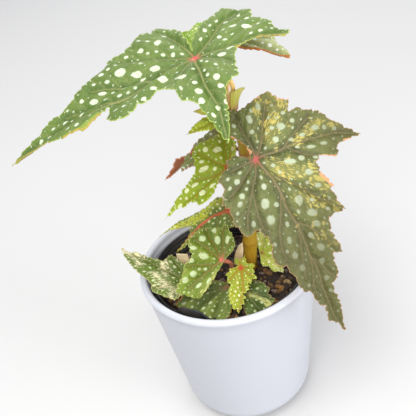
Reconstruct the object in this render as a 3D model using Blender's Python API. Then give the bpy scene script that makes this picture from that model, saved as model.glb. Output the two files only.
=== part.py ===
"""Potted begonia: an angel-wing cane with spotted leaves in a white outer pot.

Sizes in the code are millimetres, turned into metres when a mesh is made.
+Z is up, the pot stands on Z = 0 at the origin, and the photo was taken from -Y.
"""
import math

import bpy
from mathutils import Vector, noise
from mathutils.geometry import delaunay_2d_cdt

MM = 0.001
CLEARANCE = 0.35

# Outer pot
POT_HEIGHT = 91.0
POT_RIM_RADIUS = 46.0
POT_MOUTH_RADIUS = 42.4
POT_NECK_RADIUS = 44.8
POT_NECK_DROP = 4.0
POT_BASE_RADIUS = 36.1
POT_BASE_ROUNDING = 12.5
POT_WALL = 3.0
POT_COLLAR_DEPTH = 3.0

# Nursery pot, standing on the outer pot's floor
NURSERY_RIM_RADIUS = 40.2
NURSERY_BASE_RADIUS = 25.0
NURSERY_TOP = 87.0
NURSERY_BOTTOM = POT_WALL + CLEARANCE
NURSERY_WALL = 1.0
NURSERY_STEP_DEPTH = 12.0
NURSERY_STEP = 1.0
NURSERY_COLLAR_FLARE = 1.2
NURSERY_FOOT_CHAMFER = 2.0
TAB_BEARING = 236.0
TAB_WIDTH = 26.0
TAB_HEIGHT = 3.0
TAB_SHOULDER = 4.0

# Soil
SOIL_TOP = 78.0
SOIL_BOTTOM = NURSERY_BOTTOM + NURSERY_WALL + CLEARANCE
SOIL_GRAIN = 1.0
SOIL_GRAIN_SCALE = 0.35
SOIL_EDGE_DROP = 0.8
STEM_DEPTH = 9.0
HOLE_DEPTH = 10.0
HOLE_RISE = 5.0

# Cane: places along its axis with its radius there
CANE_ROUTE = [
    ((11.4, 5.4, SOIL_TOP - STEM_DEPTH), 3.8),
    ((11.6, 5.4, 80.0), 3.8),
    ((13.2, 6.0, 91.0), 3.6),
    ((15.6, 7.2, 110.0), 3.2),
    ((17.6, 8.6, 130.0), 2.9),
    ((18.2, 9.6, 147.0), 2.6),
    ((17.0, 11.0, 158.0), 2.3),
    ((15.1, 12.0, 167.0), 2.3),
    ((15.1, 12.0, 169.5), 1.5),
]
CANE_NODES = [(94.0, 0.5), (108.0, 0.5), (132.0, 0.5), (145.0, 0.4), (157.0, 0.4), (167.0, 0.7)]
CANE_NODE_WIDTH = 1.8
CANE_NODE_MARGIN = 0.8
CANE_SIDES = 12

# Leaf blades: thickness, and how far out the swell between the veins is fully grown
BLADE_THICKNESS = 0.8
SWELL_REACH = 18.0

# Petioles: how far they run straight out of the cane or the soil, and how they enter the blade
PETIOLE_OUT = 1.6
PETIOLE_STRAIGHT = 1.5
PETIOLE_UNDER = 1.2
PETIOLE_THROUGH = 0.3
PETIOLE_TIP = 0.8
PETIOLE_SIDES = 8
SESSILE_REACH = 2.0

# Finishes: base colour and roughness
FINISHES = {
    "pot_white": ((0.84, 0.85, 0.87), 0.42),
    "nursery_black": ((0.012, 0.012, 0.014), 0.45),
    "soil": ((0.045, 0.028, 0.018), 0.95),
    "cane": ((0.33, 0.22, 0.04), 0.4),
    "leaf_green": ((0.13, 0.27, 0.04), 0.4),
    "leaf_olive": ((0.10, 0.15, 0.05), 0.4),
    "leaf_lime": ((0.32, 0.45, 0.03), 0.4),
    "leaf_dark": ((0.04, 0.10, 0.03), 0.4),
    "stipule": ((0.50, 0.46, 0.16), 0.5),
    "papery": ((0.62, 0.52, 0.36), 0.6),
}

# Leaves. The blade's own frame starts at its junction with the petiole: along runs down the main lobe,
# across to its side, and up out of the upper face. Outline points are (across, along). A sessile one is a
# bract, which its short stalk enters in line with the blade.
# A vein is (bearing from along in degrees, reach, lift in degrees at the junction, degrees it droops by its end).
LEAVES = {
    "leaf_top": dict(
        finish="leaf_green", junction=(2.8, 0.0, 200.8), toward=(-98, -26, -16), faces=(0.0, -0.20, 0.98),
        veins=[(-171, 43, 0, 12), (-78, 51, 4, 22), (-27, 42, 8, 12), (-8, 62, 2, 16), (10, 94, 0, 26),
               (39, 40, 4, 10), (82, 34, 6, 12), (147, 35, 4, 10)],
        swell=1.8, grain=4.0, tooth=(5.5, 0.7),
        outline=[(4, -1), (12, -2), (19, -2), (24, 0), (32, 5), (28, 9), (31, 12), (29, 16), (26, 20), (25, 25),
                 (26, 31), (22, 35), (21, 41), (20, 48), (18, 54), (16, 60), (18, 67), (17, 74), (17, 93),
                 (11, 82), (2, 70), (-1, 65), (-3, 59), (-5, 55), (-4, 49), (-3, 42), (-10, 45), (-16, 43),
                 (-18, 37), (-14, 31), (-16, 28), (-12, 21), (-16, 17), (-24, 16), (-27, 12), (-38, 11),
                 (-50, 10), (-42, 5), (-33, 1), (-25, -3), (-24, -9), (-15, -12), (-7, -17), (-4, -27),
                 (-6, -33), (-10, -37), (-7, -42), (-4, -39), (-1, -37), (2, -38), (7, -36), (11, -33),
                 (16, -35), (19, -30), (23, -25), (20, -18), (18, -13), (12, -6), (7, -2)],
        cane_top=(15.1, 12.0), petiole=[(16.0, 11.4, 174.5), (17.3, 9.5, 180.6), (11.5, 4.5, 195.0)],
        petiole_radius=1.1),
    "leaf_right": dict(
        finish="leaf_olive", junction=(20.9, -12.0, 153.3), toward=(40, -70, -80), faces=(0.1, -0.75, 0.65),
        veins=[(-176, 28, 0, 10), (-137, 33, 0, 6), (-73, 51, 0, 10), (-29, 46, 0, 10), (-13, 56, 0, 10),
               (4, 88, 0, 20), (39, 35, 0, 6), (67, 26, 0, 6), (119, 14, 0, 8)],
        swell=1.2, grain=4.0, tooth=(5.5, 0.7),
        outline=[(1, -4), (1, -9), (5, -17), (3, -24), (-2, -27), (-6, -23), (-15, -24), (-22, -24),
                 (-25, -18), (-28, -16), (-25, -11), (-30, -10), (-33, -7), (-37, -4), (-40, 2), (-49, 15),
                 (-37, 13), (-33, 18), (-27, 14), (-23, 15), (-22, 20), (-24, 28), (-22, 29), (-23, 40),
                 (-14, 39), (-12, 45), (-12, 55), (-7, 54), (-4, 64), (0, 65), (1, 75), (5, 88), (7, 81),
                 (9, 79), (8, 72), (10, 70), (10, 64), (13, 61), (14, 48), (18, 44), (15, 36), (15, 31),
                 (17, 27), (22, 28), (24, 19), (22, 13), (24, 10), (19, 3), (20, -1), (12, -4), (12, -7),
                 (7, -6), (3, -3), (2, -1)],
        cane_height=134.0, petiole=[(24.5, 3.0, 140.0), (23.5, -6.0, 148.5)], petiole_radius=1.3),
    "leaf_left": dict(
        finish="leaf_lime", junction=(8.3, 0.0, 145.4), toward=(-60, -36, -36), faces=(-0.30, -0.62, 0.72),
        veins=[(-30, 18, 2, 8), (-3, 22, 2, 8), (13, 38, 2, 12), (77, 19, 2, 8), (131, 18, 2, 8), (172, 10, 2, 8)],
        swell=1.4, grain=3.6, tooth=(5.0, 0.6),
        outline=[(1, -3), (-1, -6), (1, -8), (4, -12), (8, -13), (14, -12), (15, -7), (19, 0), (19, 4),
                 (15, 7), (11, 10), (10, 17), (10, 26), (9, 37), (6, 28), (4, 28), (3, 24), (-1, 22), (-4, 16),
                 (-3, 12), (-2, 8), (-3, 3), (-2, -2)],
        cane_height=133.0, petiole=[(12.0, 2.5, 138.0)], petiole_radius=1.0),
    "leaf_low_left": dict(
        finish="leaf_lime", junction=(5.4, 11.0, 113.4), toward=(-31, 3, -22), faces=(-0.55, -0.43, 0.72),
        veins=[(-81, 9, 2, 8), (0, 39, 2, 8), (20, 49, 2, 8), (78, 10, 2, 8)],
        swell=1.8, grain=3.6, tooth=(5.0, 0.6),
        outline=[(2, -3), (6, -1), (10, 2), (9, 10), (11, 20), (14, 30), (15, 46), (13, 37), (8, 28), (5, 23),
                 (2, 27), (0, 40), (-1, 32), (0, 24), (0, 17), (-5, 12), (-8, 6), (-10, 2), (-7, -2), (-3, -3)],
        cane_height=107.0, petiole=[(9.5, 10.0, 109.0)], petiole_radius=1.1),
    "leaf_centre": dict(
        finish="leaf_olive", junction=(-2.7, -12.0, 100.4), toward=(-26, -16, -12), faces=(-0.15, -0.85, 0.50),
        veins=[(13, 27, 2, 10), (39, 19, 2, 8), (82, 19, 2, 8), (114, 18, 2, 8), (144, 19, 2, 8), (177, 10, 2, 8)],
        swell=1.4, grain=3.6, tooth=(5.0, 0.6),
        outline=[(-1, -2), (-1, -6), (0, -10), (3, -12), (8, -14), (11, -15), (11, -11), (16, -7), (18, -4),
                 (19, 2), (17, 6), (12, 9), (12, 14), (9, 20), (8, 24), (6, 27), (2, 25), (-4, 22), (-4, 15),
                 (-3, 9), (-2, 4)],
        soil_hole=(0.0, -1.0), petiole=[(1.5, -4.0, 90.0)], petiole_radius=1.0),
    "leaf_over_rim": dict(
        finish="leaf_green", junction=(-21.2, -10.0, 89.5), toward=(-44, 8, 14), faces=(0.15, -0.40, 0.90),
        veins=[(-65, 15, 14, 2), (-27, 20, 14, 2), (20, 40, 0, 3), (50, 17, 4, 2)],
        swell=1.2, grain=3.6, tooth=(5.0, 0.6),
        outline=[(5, -1), (11, 7), (13, 11), (9, 14), (10, 22), (12, 28), (12, 33), (14, 37), (8, 34), (1, 28),
                 (-6, 19), (-10, 18), (-12, 15), (-13, 6), (-10, 3), (-4, -2)],
        soil_hole=(-19.5, 1.0), petiole=[], petiole_radius=0.9),
    "leaf_young_front": dict(
        finish="leaf_lime", junction=(5.9, -10.0, 91.8), toward=(-2, -26, -9), faces=(0.1, -0.5, 0.86),
        veins=[(-147, 7, 2, 8), (-91, 7, 2, 8), (-44, 10, 2, 8), (11, 26, 2, 8), (64, 10, 2, 8), (166, 6, 2, 8)],
        swell=1.4, grain=3.2, tooth=(5.0, 0.5),
        outline=[(1, -1), (3, -3), (2, -6), (0, -4), (-3, -7), (-3, -2), (-7, -1), (-6, 3), (-7, 7), (-3, 10),
                 (-2, 14), (1, 15), (0, 18), (4, 25), (7, 21), (8, 16), (7, 10), (8, 5), (6, 1), (3, 0)],
        soil_hole=(7.5, -6.0), petiole=[], petiole_radius=0.8),
    "leaf_low_right": dict(
        finish="leaf_dark", junction=(4.6, -19.0, 84.4), toward=(22, -8, -1), faces=(0.1, -0.3, 0.95),
        veins=[(-36, 11, 2, 8), (10, 17, 2, 8), (45, 16, 2, 8)],
        swell=1.4, grain=3.6, tooth=(5.0, 0.5),
        outline=[(-2, 1), (-6, 3), (-6, 8), (-2, 13), (1, 13), (4, 17), (8, 15), (11, 14), (12, 11), (15, 8),
                 (14, 4), (8, 1), (4, 0), (1, -1)],
        soil_hole=(1.0, -16.0), petiole=[], petiole_radius=0.8),
    "leaf_low_left_front": dict(
        finish="leaf_dark", junction=(-3.5, -11.0, 82.0), toward=(-22, -14, -1), faces=(-0.1, -0.15, 0.98),
        veins=[(-33, 27, 2, 8), (-1, 28, 2, 8), (28, 29, 2, 8), (45, 19, 2, 8)],
        swell=1.2, grain=3.6, tooth=(5.0, 0.5),
        outline=[(6, 0), (11, 5), (13, 12), (12, 20), (10, 25), (5, 26), (-1, 27), (-7, 24), (-12, 22), (-15, 18),
                 (-16, 12), (-12, 6), (-4, 0), (1, -2)],
        soil_hole=(0.5, -11.0), petiole=[], petiole_radius=0.8),
    "leaf_behind_cane": dict(
        finish="leaf_lime", junction=(18.5, 5.0, 86.0), toward=(16, -10, -3), faces=(0.1, -0.6, 0.8),
        veins=[(-100, 13, 2, 8), (-46, 11, 2, 8), (21, 16, 2, 8), (54, 8, 2, 8)],
        swell=1.4, grain=3.6, tooth=(5.0, 0.5),
        outline=[(-1.5, -2.2), (-4, -6), (-8, -7), (-12, -5), (-9, 1), (-8, 5), (-6, 7), (-3, 8), (-1, 11),
                 (7, 15), (8, 10), (6, 5), (7, 4), (6, 2), (4, 1)],
        soil_hole=(20.0, 8.0), petiole=[], petiole_radius=0.8),
    "leaf_back_left": dict(
        finish="leaf_olive", junction=(8.2, 20.0, 151.5), toward=(-30, 2, -20), faces=(-0.3, -0.5, 0.8),
        veins=[(-45, 10, 2, 8), (-5, 26, 2, 8), (3, 39, 2, 12), (25, 15, 2, 8), (75, 7, 2, 8)],
        swell=1.4, grain=3.6, tooth=(5.0, 0.6),
        outline=[(3, -1), (6, 1), (5, 6), (6, 13), (3, 17), (4, 22), (6, 27), (4, 31), (2, 39), (0, 33), (1, 26),
                 (-2, 27), (-3, 22), (-8, 14), (-8, 7), (-3, 1)],
        cane_height=146.0, petiole=[], petiole_radius=0.9),
    "leaf_young_left": dict(
        finish="leaf_lime", junction=(8.7, 8.0, 165.6), toward=(-20, -4, -2), faces=(0.0, -0.3, 0.95),
        veins=[(-30, 9, 4, 8), (0, 16, 2, 8), (35, 9, 4, 8)],
        swell=1.2, grain=3.0, tooth=(4.0, 0.5),
        outline=[(4, 1), (5, 6), (3, 10), (0, 16), (-2, 12), (-3, 9), (-4, 4), (-2, 0)],
        cane_height=158.0, petiole=[], petiole_radius=0.8),
    "bract_node": dict(
        finish="stipule", junction=(10.6, 11.0, 168.6), toward=(-12, -1, 3), faces=(-0.1, -0.6, 0.8),
        veins=[(-20, 8, 2, 4), (0, 13, 2, 8), (20, 8, 2, 4)],
        swell=-0.6, grain=2.5, tooth=(9.0, 0.3),
        outline=[(1.4, -1.5), (2.1, 4), (1.6, 9), (0, 13), (-1.6, 9), (-2.1, 4), (-1.4, -1.5)],
        cane_height=166.5, sessile=True, petiole=[], petiole_radius=0.6),
    "bract_cane": dict(
        finish="papery", junction=(4.8, 1.0, 85.5), toward=(4, 2, 10.5), faces=(-0.3, -0.85, 0.2),
        veins=[(-20, 8, 2, 4), (0, 11, 2, 8), (20, 8, 2, 4)],
        swell=-0.5, grain=2.5, tooth=(9.0, 0.3),
        outline=[(1.5, -1.5), (2.2, 3), (1.6, 8), (0.3, 12), (-1.2, 10), (-2.0, 6), (-2.0, 2), (-1.4, -1.5)],
        soil_hole=(4.5, 2.0), sessile=True, petiole=[], petiole_radius=0.7),
    "bract_left": dict(
        finish="papery", junction=(-22.6, 4.6, 84.5), toward=(0, 0.1, 1), faces=(-0.1, -0.95, 0.1),
        veins=[(-20, 8, 2, 4), (0, 9, 2, 8), (20, 8, 2, 4)],
        swell=-0.5, grain=2.5, tooth=(9.0, 0.3),
        outline=[(2.2, -1.5), (3.0, 4), (3.0, 9.6), (-2.8, 11), (-3.0, 5), (-2.2, -1.5)],
        soil_hole=(-22.6, 5.5), sessile=True, petiole=[], petiole_radius=0.7),
    "leaf_top_right": dict(
        finish="leaf_olive", junction=(19.4, 26.0, 197.3), toward=(40, -2, -8), faces=(0.1, -0.25, 0.95),
        veins=[(-80, 12, 2, 8), (-30, 19, 2, 8), (2, 20, 2, 8), (27, 32, 2, 10), (49, 16, 2, 8)],
        swell=1.2, grain=3.6, tooth=(5.0, 0.6),
        outline=[(-2, -3), (-7, -3), (-12, 1), (-9, 6), (-11, 14), (-5, 15), (-1, 22), (6, 23), (10, 27), (14, 28),
                 (13, 21), (11, 13), (9, 6), (8, 3), (5, -1)],
        cane_height=160.0, petiole=[(15.5, 22.0, 170.0), (18.5, 26.5, 186.0)], petiole_radius=0.9),
    "leaf_top_young": dict(
        finish="leaf_lime", junction=(6.9, 16.0, 190.5), toward=(-8, 30, 3), faces=(0.0, -0.12, 0.98),
        veins=[(-30, 24, 2, 8), (5, 39, 2, 8), (22, 45, 2, 8), (60, 16, 2, 8)],
        swell=1.2, grain=3.6, tooth=(4.5, 0.6),
        outline=[(-3, 0), (-8, 5), (-11, 14), (-8, 20), (-9, 27), (-3, 31), (-2, 37), (3, 39), (7, 36), (14, 43),
                 (17, 42), (15, 33), (16, 25), (13, 18), (14, 9), (8, 3), (3, 0)],
        cane_height=167.5, petiole=[(12.0, 18.0, 176.0), (10.0, 17.0, 183.0)], petiole_radius=0.8),
}

# Stipules: sheets that stand round a stem. Stem axis at the foot, bearing of the middle, height,
# half width in degrees at the foot, how far the top flares out, and how wide the top is beside the foot.
STIPULES = {
    "stipule_node": dict(finish="stipule", axis=(15.0, 12.1, 168.0), inner=3.4, bearing=-38.0, height=11.0,
                         half_width=55.0, flare=4.2, top_width=0.72),
}
STIPULE_THICKNESS = 0.7


def clear_scene():
    """Remove what the default file holds."""
    for item in list(bpy.data.objects):
        bpy.data.objects.remove(item, do_unlink=True)


def finish_material(name):
    """One Principled material for each finish."""
    material = bpy.data.materials.get(name)
    if material is None:
        colour, roughness = FINISHES[name]
        material = bpy.data.materials.new(name)
        material.use_nodes = True
        shader = material.node_tree.nodes["Principled BSDF"]
        shader.inputs["Base Color"].default_value = (*colour, 1.0)
        shader.inputs["Roughness"].default_value = roughness
        shader.inputs["Metallic"].default_value = 0.0
    return material


def mesh_object(name, points, faces, finish, smooth_angle=35.0):
    """An object from points in millimetres."""
    mesh = bpy.data.meshes.new(name)
    mesh.from_pydata([Vector(point) * MM for point in points], [], faces)
    mesh.validate()
    mesh.update()
    mesh.shade_smooth()
    mesh.set_sharp_from_angle(angle=math.radians(smooth_angle))
    mesh.materials.append(finish_material(finish))
    item = bpy.data.objects.new(name, mesh)
    bpy.context.collection.objects.link(item)
    return item


def boolean_apply(item, other, operation):
    """Apply a Boolean with one other object and remove that object."""
    modifier = item.modifiers.new("boolean", "BOOLEAN")
    modifier.operation = operation
    modifier.object = other
    modifier.solver = "EXACT"
    bpy.context.view_layer.update()
    evaluated = item.evaluated_get(bpy.context.evaluated_depsgraph_get())
    mesh = bpy.data.meshes.new_from_object(evaluated)
    item.modifiers.clear()
    item.data = mesh
    bpy.data.objects.remove(other, do_unlink=True)


def mix(first, second, share):
    """The value a share of the way from first to second."""
    return first + (second - first) * share


def smooth_route(points, steps):
    """Points along a Catmull-Rom curve through the given ones; the last item of each may be a radius."""
    ends = [[2 * a - b for a, b in zip(points[0], points[1])]]
    ends.append([2 * a - b for a, b in zip(points[-1], points[-2])])
    chain = [ends[0], *points, ends[1]]
    route = []
    for index in range(1, len(chain) - 2):
        before, start, end, after = chain[index - 1:index + 3]
        for step in range(steps):
            t = step / steps
            route.append([
                0.5 * (2 * s + (e - b) * t + (2 * b - 5 * s + 4 * e - a) * t * t + (3 * s - b - 3 * e + a) * t ** 3)
                for b, s, e, a in zip(before, start, end, after)])
    route.append(list(points[-1]))
    return route


def tube(route, sides):
    """Points and faces of a closed tube along a route of (x, y, z, radius)."""
    points = []
    faces = []
    places = [Vector(stop[:3]) for stop in route]
    side = Vector((0.0, 1.0, 0.0))
    for index, place in enumerate(places):
        ahead = places[min(index + 1, len(places) - 1)]
        behind = places[max(index - 1, 0)]
        direction = (ahead - behind).normalized()
        side = (side - side.dot(direction) * direction).normalized()
        other = direction.cross(side)
        for turn in range(sides):
            angle = 2 * math.pi * turn / sides
            points.append(place + route[index][3] * (math.cos(angle) * side + math.sin(angle) * other))
    rings = len(places)
    for ring in range(rings - 1):
        for turn in range(sides):
            here = ring * sides + turn
            following = ring * sides + (turn + 1) % sides
            faces.append((here, following, following + sides, here + sides))
    faces.append(tuple(reversed(range(sides))))
    faces.append(tuple(range((rings - 1) * sides, rings * sides)))
    return points, faces


def lathe(name, profile, segments, finish, lift=None):
    """A closed profile of (radius, height) turned round Z. lift(angle, height) may raise a point."""
    points = []
    faces = []
    count = len(profile)
    for step in range(segments):
        angle = 2 * math.pi * step / segments
        for radius, height in profile:
            raised = height if lift is None else height + lift(angle, height)
            points.append((radius * math.cos(angle), radius * math.sin(angle), raised))
    for step in range(segments):
        start = step * count
        end = (step + 1) % segments * count
        for index in range(count - 1):
            faces.append((start + index, end + index, end + index + 1, start + index + 1))
    bottom = len(points)
    points.append((0.0, 0.0, profile[0][1]))
    points.append((0.0, 0.0, profile[-1][1]))
    for step in range(segments):
        start = step * count
        end = (step + 1) % segments * count
        faces.append((bottom, end, start))
        faces.append((bottom + 1, start + count - 1, end + count - 1))
    return mesh_object(name, points, faces, finish)


def arc(centre, radius, start, end, steps):
    """Points of a circular arc, with angles in degrees."""
    turned = []
    for step in range(steps + 1):
        angle = math.radians(mix(start, end, step / steps))
        turned.append((centre[0] + radius * math.cos(angle), centre[1] + radius * math.sin(angle)))
    return turned


def outer_pot():
    """White pot with a rounded foot, a straight taper and a rounded lip."""
    foot = (POT_BASE_RADIUS - POT_BASE_ROUNDING, POT_BASE_ROUNDING)
    inside_foot = POT_BASE_ROUNDING - POT_WALL
    lip = (POT_RIM_RADIUS - POT_MOUTH_RADIUS) / 2
    lip_centre = (POT_RIM_RADIUS - lip, POT_HEIGHT - lip)
    neck = POT_HEIGHT - POT_NECK_DROP
    profile = arc(foot, POT_BASE_ROUNDING, -90, 0, 6)
    profile.append((mix(POT_BASE_RADIUS, POT_NECK_RADIUS, 0.5), mix(POT_BASE_ROUNDING, neck, 0.5)))
    profile.append((POT_NECK_RADIUS, neck))
    profile += arc(lip_centre, lip, -20, 180, 8)
    profile.append((POT_NECK_RADIUS - POT_WALL, neck - POT_COLLAR_DEPTH))
    profile += arc(foot, inside_foot, 0, -90, 5)
    return lathe("outer_pot", profile, 56, "pot_white")


def nursery_radius(height):
    """Outer radius of the nursery pot's wall at a height."""
    share = (height - NURSERY_BOTTOM) / (NURSERY_TOP - NURSERY_BOTTOM)
    return mix(NURSERY_BASE_RADIUS, NURSERY_RIM_RADIUS - NURSERY_COLLAR_FLARE, share)


def tab_lift(angle, height):
    """How far the nursery pot's rim is raised at its tab."""
    if height < NURSERY_TOP - 0.1:
        return 0.0
    offset = abs((math.degrees(angle) - TAB_BEARING + 180.0) % 360.0 - 180.0)
    return TAB_HEIGHT * min(1.0, max(0.0, (TAB_WIDTH / 2 - offset) / TAB_SHOULDER))


def nursery_pot():
    """Thin black pot with a stepped collar and one upstanding tab."""
    step = NURSERY_TOP - NURSERY_STEP_DEPTH
    wall = NURSERY_WALL
    foot = NURSERY_BASE_RADIUS - NURSERY_FOOT_CHAMFER
    foot_top = NURSERY_BOTTOM + NURSERY_FOOT_CHAMFER
    collar = nursery_radius(step) + NURSERY_STEP
    profile = [
        (foot, NURSERY_BOTTOM),
        (nursery_radius(foot_top), foot_top),
        (nursery_radius(step), step),
        (collar, step + NURSERY_STEP),
        (NURSERY_RIM_RADIUS, NURSERY_TOP),
        (NURSERY_RIM_RADIUS - wall, NURSERY_TOP),
        (collar - wall, step + NURSERY_STEP + wall / 2),
        (nursery_radius(step) - wall, step + wall / 2),
        (nursery_radius(foot_top) - wall, foot_top + wall),
        (foot - wall, NURSERY_BOTTOM + wall),
    ]
    return lathe("nursery_pot", profile, 48, "nursery_black", tab_lift)


def soil_height(x, y):
    """Bumpy top of the soil."""
    return SOIL_TOP + SOIL_GRAIN * noise.noise(Vector((x, y, 0.0)) * SOIL_GRAIN_SCALE)


def soil(holes):
    """Soil with a granular top and a plain hole for each stem: (x, y, radius)."""
    segments = 40
    rings = 11
    edge = nursery_radius(SOIL_TOP) - NURSERY_WALL - 2 * CLEARANCE
    foot = NURSERY_BASE_RADIUS - NURSERY_FOOT_CHAMFER - NURSERY_WALL - 2 * CLEARANCE
    points = [(0.0, 0.0, soil_height(0.0, 0.0))]
    faces = []
    for ring in range(1, rings + 1):
        radius = edge * ring / rings
        for turn in range(segments):
            angle = 2 * math.pi * (turn + 0.5 * (ring % 2)) / segments
            x = radius * math.cos(angle)
            y = radius * math.sin(angle)
            points.append((x, y, soil_height(x, y) if ring < rings else SOIL_TOP - SOIL_EDGE_DROP))
    for turn in range(segments):
        angle = 2 * math.pi * (turn + 0.5 * (rings % 2)) / segments
        points.append((foot * math.cos(angle), foot * math.sin(angle), SOIL_BOTTOM))
    points.append((0.0, 0.0, SOIL_BOTTOM))
    for turn in range(segments):
        faces.append((0, 1 + turn, 1 + (turn + 1) % segments))
    for ring in range(1, rings + 1):
        inner = 1 + (ring - 1) * segments
        outer = 1 + ring * segments
        shift = ring % 2 if ring < rings else 0
        for turn in range(segments):
            following = (turn + 1) % segments
            if ring == rings:
                faces.append((inner + turn, outer + turn, outer + following, inner + following))
            elif shift:
                faces.append((inner + turn, outer + turn, outer + following))
                faces.append((inner + turn, outer + following, inner + following))
            else:
                faces.append((inner + turn, outer + turn, inner + following))
                faces.append((outer + turn, outer + following, inner + following))
    last = len(points) - 1
    for turn in range(segments):
        faces.append((last, last - segments + (turn + 1) % segments, last - segments + turn))
    body = mesh_object("soil", points, faces, "soil", 60.0)
    for x, y, radius in holes:
        route = [(x, y, SOIL_TOP - HOLE_DEPTH, radius), (x, y, SOIL_TOP + HOLE_RISE, radius)]
        cutter = mesh_object("cutter", *tube(route, CANE_SIDES), "soil")
        boolean_apply(body, cutter, "DIFFERENCE")
    return body


def cane_axis(height):
    """Axis point and radius of the cane at a height."""
    for (low, low_radius), (high, high_radius) in zip(CANE_ROUTE, CANE_ROUTE[1:]):
        if height <= high[2]:
            share = (height - low[2]) / (high[2] - low[2])
            place = Vector(low).lerp(Vector(high), share)
            return place, mix(low_radius, high_radius, share)
    return Vector(CANE_ROUTE[-1][0]), CANE_ROUTE[-1][1]


def cane():
    """Cane with a slight swelling at each node."""
    route = smooth_route([(*place, radius) for place, radius in CANE_ROUTE], 5)
    for stop in route:
        for height, swelling in CANE_NODES:
            stop[3] += swelling * math.exp(-((stop[2] - height) / CANE_NODE_WIDTH) ** 2)
    return mesh_object("cane", *tube(route, CANE_SIDES), "cane", 60.0)


def blade_frame(leaf):
    """Junction and the across, along and up directions of a blade."""
    along = Vector(leaf["toward"]).normalized()
    up = Vector(leaf["faces"])
    up = (up - up.dot(along) * along).normalized()
    return Vector(leaf["junction"]), along.cross(up), along, up


def blade_bend(leaf, bearing):
    """Lift at the junction and turn per millimetre, in radians, and the swell between two veins at a bearing."""
    veins = leaf["veins"]
    for index, start in enumerate(veins):
        end = veins[(index + 1) % len(veins)]
        span = (end[0] - start[0]) % 360.0
        offset = (bearing - start[0]) % 360.0
        if offset <= span:
            break
    share = offset / span
    swell = 0.0 if index == len(veins) - 1 else leaf["swell"] * math.sin(math.pi * share)
    lift = mix(start[2], end[2], share)
    turn = mix(start[3] / start[1], end[3] / end[1], share)
    return math.radians(lift), math.radians(turn), swell


def blade_point(leaf, frame, across, along):
    """Place of a blade point, on arcs that leave the junction at their lift and droop as they run out."""
    junction, across_axis, along_axis, up_axis = frame
    reach = math.hypot(across, along)
    if reach < 1e-6:
        return junction.copy()
    lift, turn, swell = blade_bend(leaf, math.degrees(math.atan2(across, along)))
    if abs(turn * reach) < 1e-4:
        out = reach * math.cos(lift)
        rise = reach * math.sin(lift)
    else:
        out = (math.sin(lift) - math.sin(lift - turn * reach)) / turn
        rise = (math.cos(lift - turn * reach) - math.cos(lift)) / turn
    flat = (across * across_axis + along * along_axis) * (out / reach)
    return junction + flat + (rise + swell * min(1.0, reach / SWELL_REACH)) * up_axis


def toothed(outline, pitch, depth):
    """The outline with a forward tooth at every pitch along its sides, wound anticlockwise."""
    area = sum(a[0] * b[1] - a[1] * b[0] for a, b in zip(outline, outline[1:] + outline[:1]))
    if area < 0:
        outline = outline[::-1]
    points = []
    for start, end in zip(outline, outline[1:] + outline[:1]):
        start = Vector(start)
        side = Vector(end) - start
        teeth = int(side.length / pitch)
        outward = Vector((side.y, -side.x)).normalized() * depth
        points.append(start)
        for tooth in range(teeth):
            points.append(start + side * (tooth + 0.6) / teeth + outward)
            if tooth < teeth - 1:
                points.append(start + side * (tooth + 1.0) / teeth)
    return points


def distance_to_edge(point, ring):
    """Distance from a point to the nearest side of a ring, negative outside it."""
    nearest = 1e9
    inside = False
    for start, end in zip(ring, ring[1:] + ring[:1]):
        side = end - start
        share = max(0.0, min(1.0, (point - start).dot(side) / side.length_squared))
        nearest = min(nearest, (start + side * share - point).length)
        if (start.y > point.y) != (end.y > point.y):
            if point.x < start.x + (point.y - start.y) / (end.y - start.y) * (end.x - start.x):
                inside = not inside
    return nearest if inside else -nearest


def blade_plan(leaf):
    """Flat points and triangles of a blade, with points along its veins so that it folds there."""
    ring = toothed(leaf["outline"], *leaf["tooth"])
    grain = leaf["grain"]
    points = list(ring)
    edges = [(index, (index + 1) % len(ring)) for index in range(len(ring))]
    centre = len(points)
    points.append(Vector((0.0, 0.0)))
    for bearing, reach, _, _ in leaf["veins"]:
        direction = Vector((math.sin(math.radians(bearing)), math.cos(math.radians(bearing))))
        previous = centre
        steps = max(2, round(reach / (grain * 1.3)))
        for step in range(1, steps):
            place = direction * (reach * step / steps)
            if distance_to_edge(place, ring) < grain * 0.35:
                break
            points.append(place)
            edges.append((previous, len(points) - 1))
            previous = len(points) - 1
    taken = list(points)
    low_x = min(point.x for point in ring)
    high_x = max(point.x for point in ring)
    low_y = min(point.y for point in ring)
    high_y = max(point.y for point in ring)
    row = 0
    y = low_y
    while y < high_y:
        x = low_x + (grain / 2 if row % 2 else 0.0)
        while x < high_x:
            place = Vector((x, y))
            clear = all((place - other).length > grain * 0.6 for other in taken)
            if clear and distance_to_edge(place, ring) > grain * 0.4:
                points.append(place)
            x += grain
        y += grain * 0.866
        row += 1
    found = delaunay_2d_cdt(points, edges, [], 1, 1e-4)
    return found[0], found[2]


def blade(name, leaf):
    """Closed blade: the same triangles above and below, with a wall round the edge."""
    flat, triangles = blade_plan(leaf)
    frame = blade_frame(leaf)
    drop = frame[3] * leaf.get("thickness", BLADE_THICKNESS)
    upper = [blade_point(leaf, frame, point.x, point.y) for point in flat]
    count = len(upper)
    faces = []
    sides = {}
    for triangle in triangles:
        corners = [flat[corner] for corner in triangle]
        area = (corners[1] - corners[0]).cross(corners[2] - corners[0])
        ordered = tuple(triangle) if area > 0 else tuple(reversed(triangle))
        faces.append(ordered)
        faces.append(tuple(corner + count for corner in reversed(ordered)))
        for start, end in zip(ordered, ordered[1:] + ordered[:1]):
            sides[(start, end)] = True
    for start, end in sides:
        if (end, start) not in sides:
            faces.append((start, start + count, end + count, end))
    lower = [point - drop for point in upper]
    return mesh_object(name, upper + lower, faces, leaf["finish"], 50.0)


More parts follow.
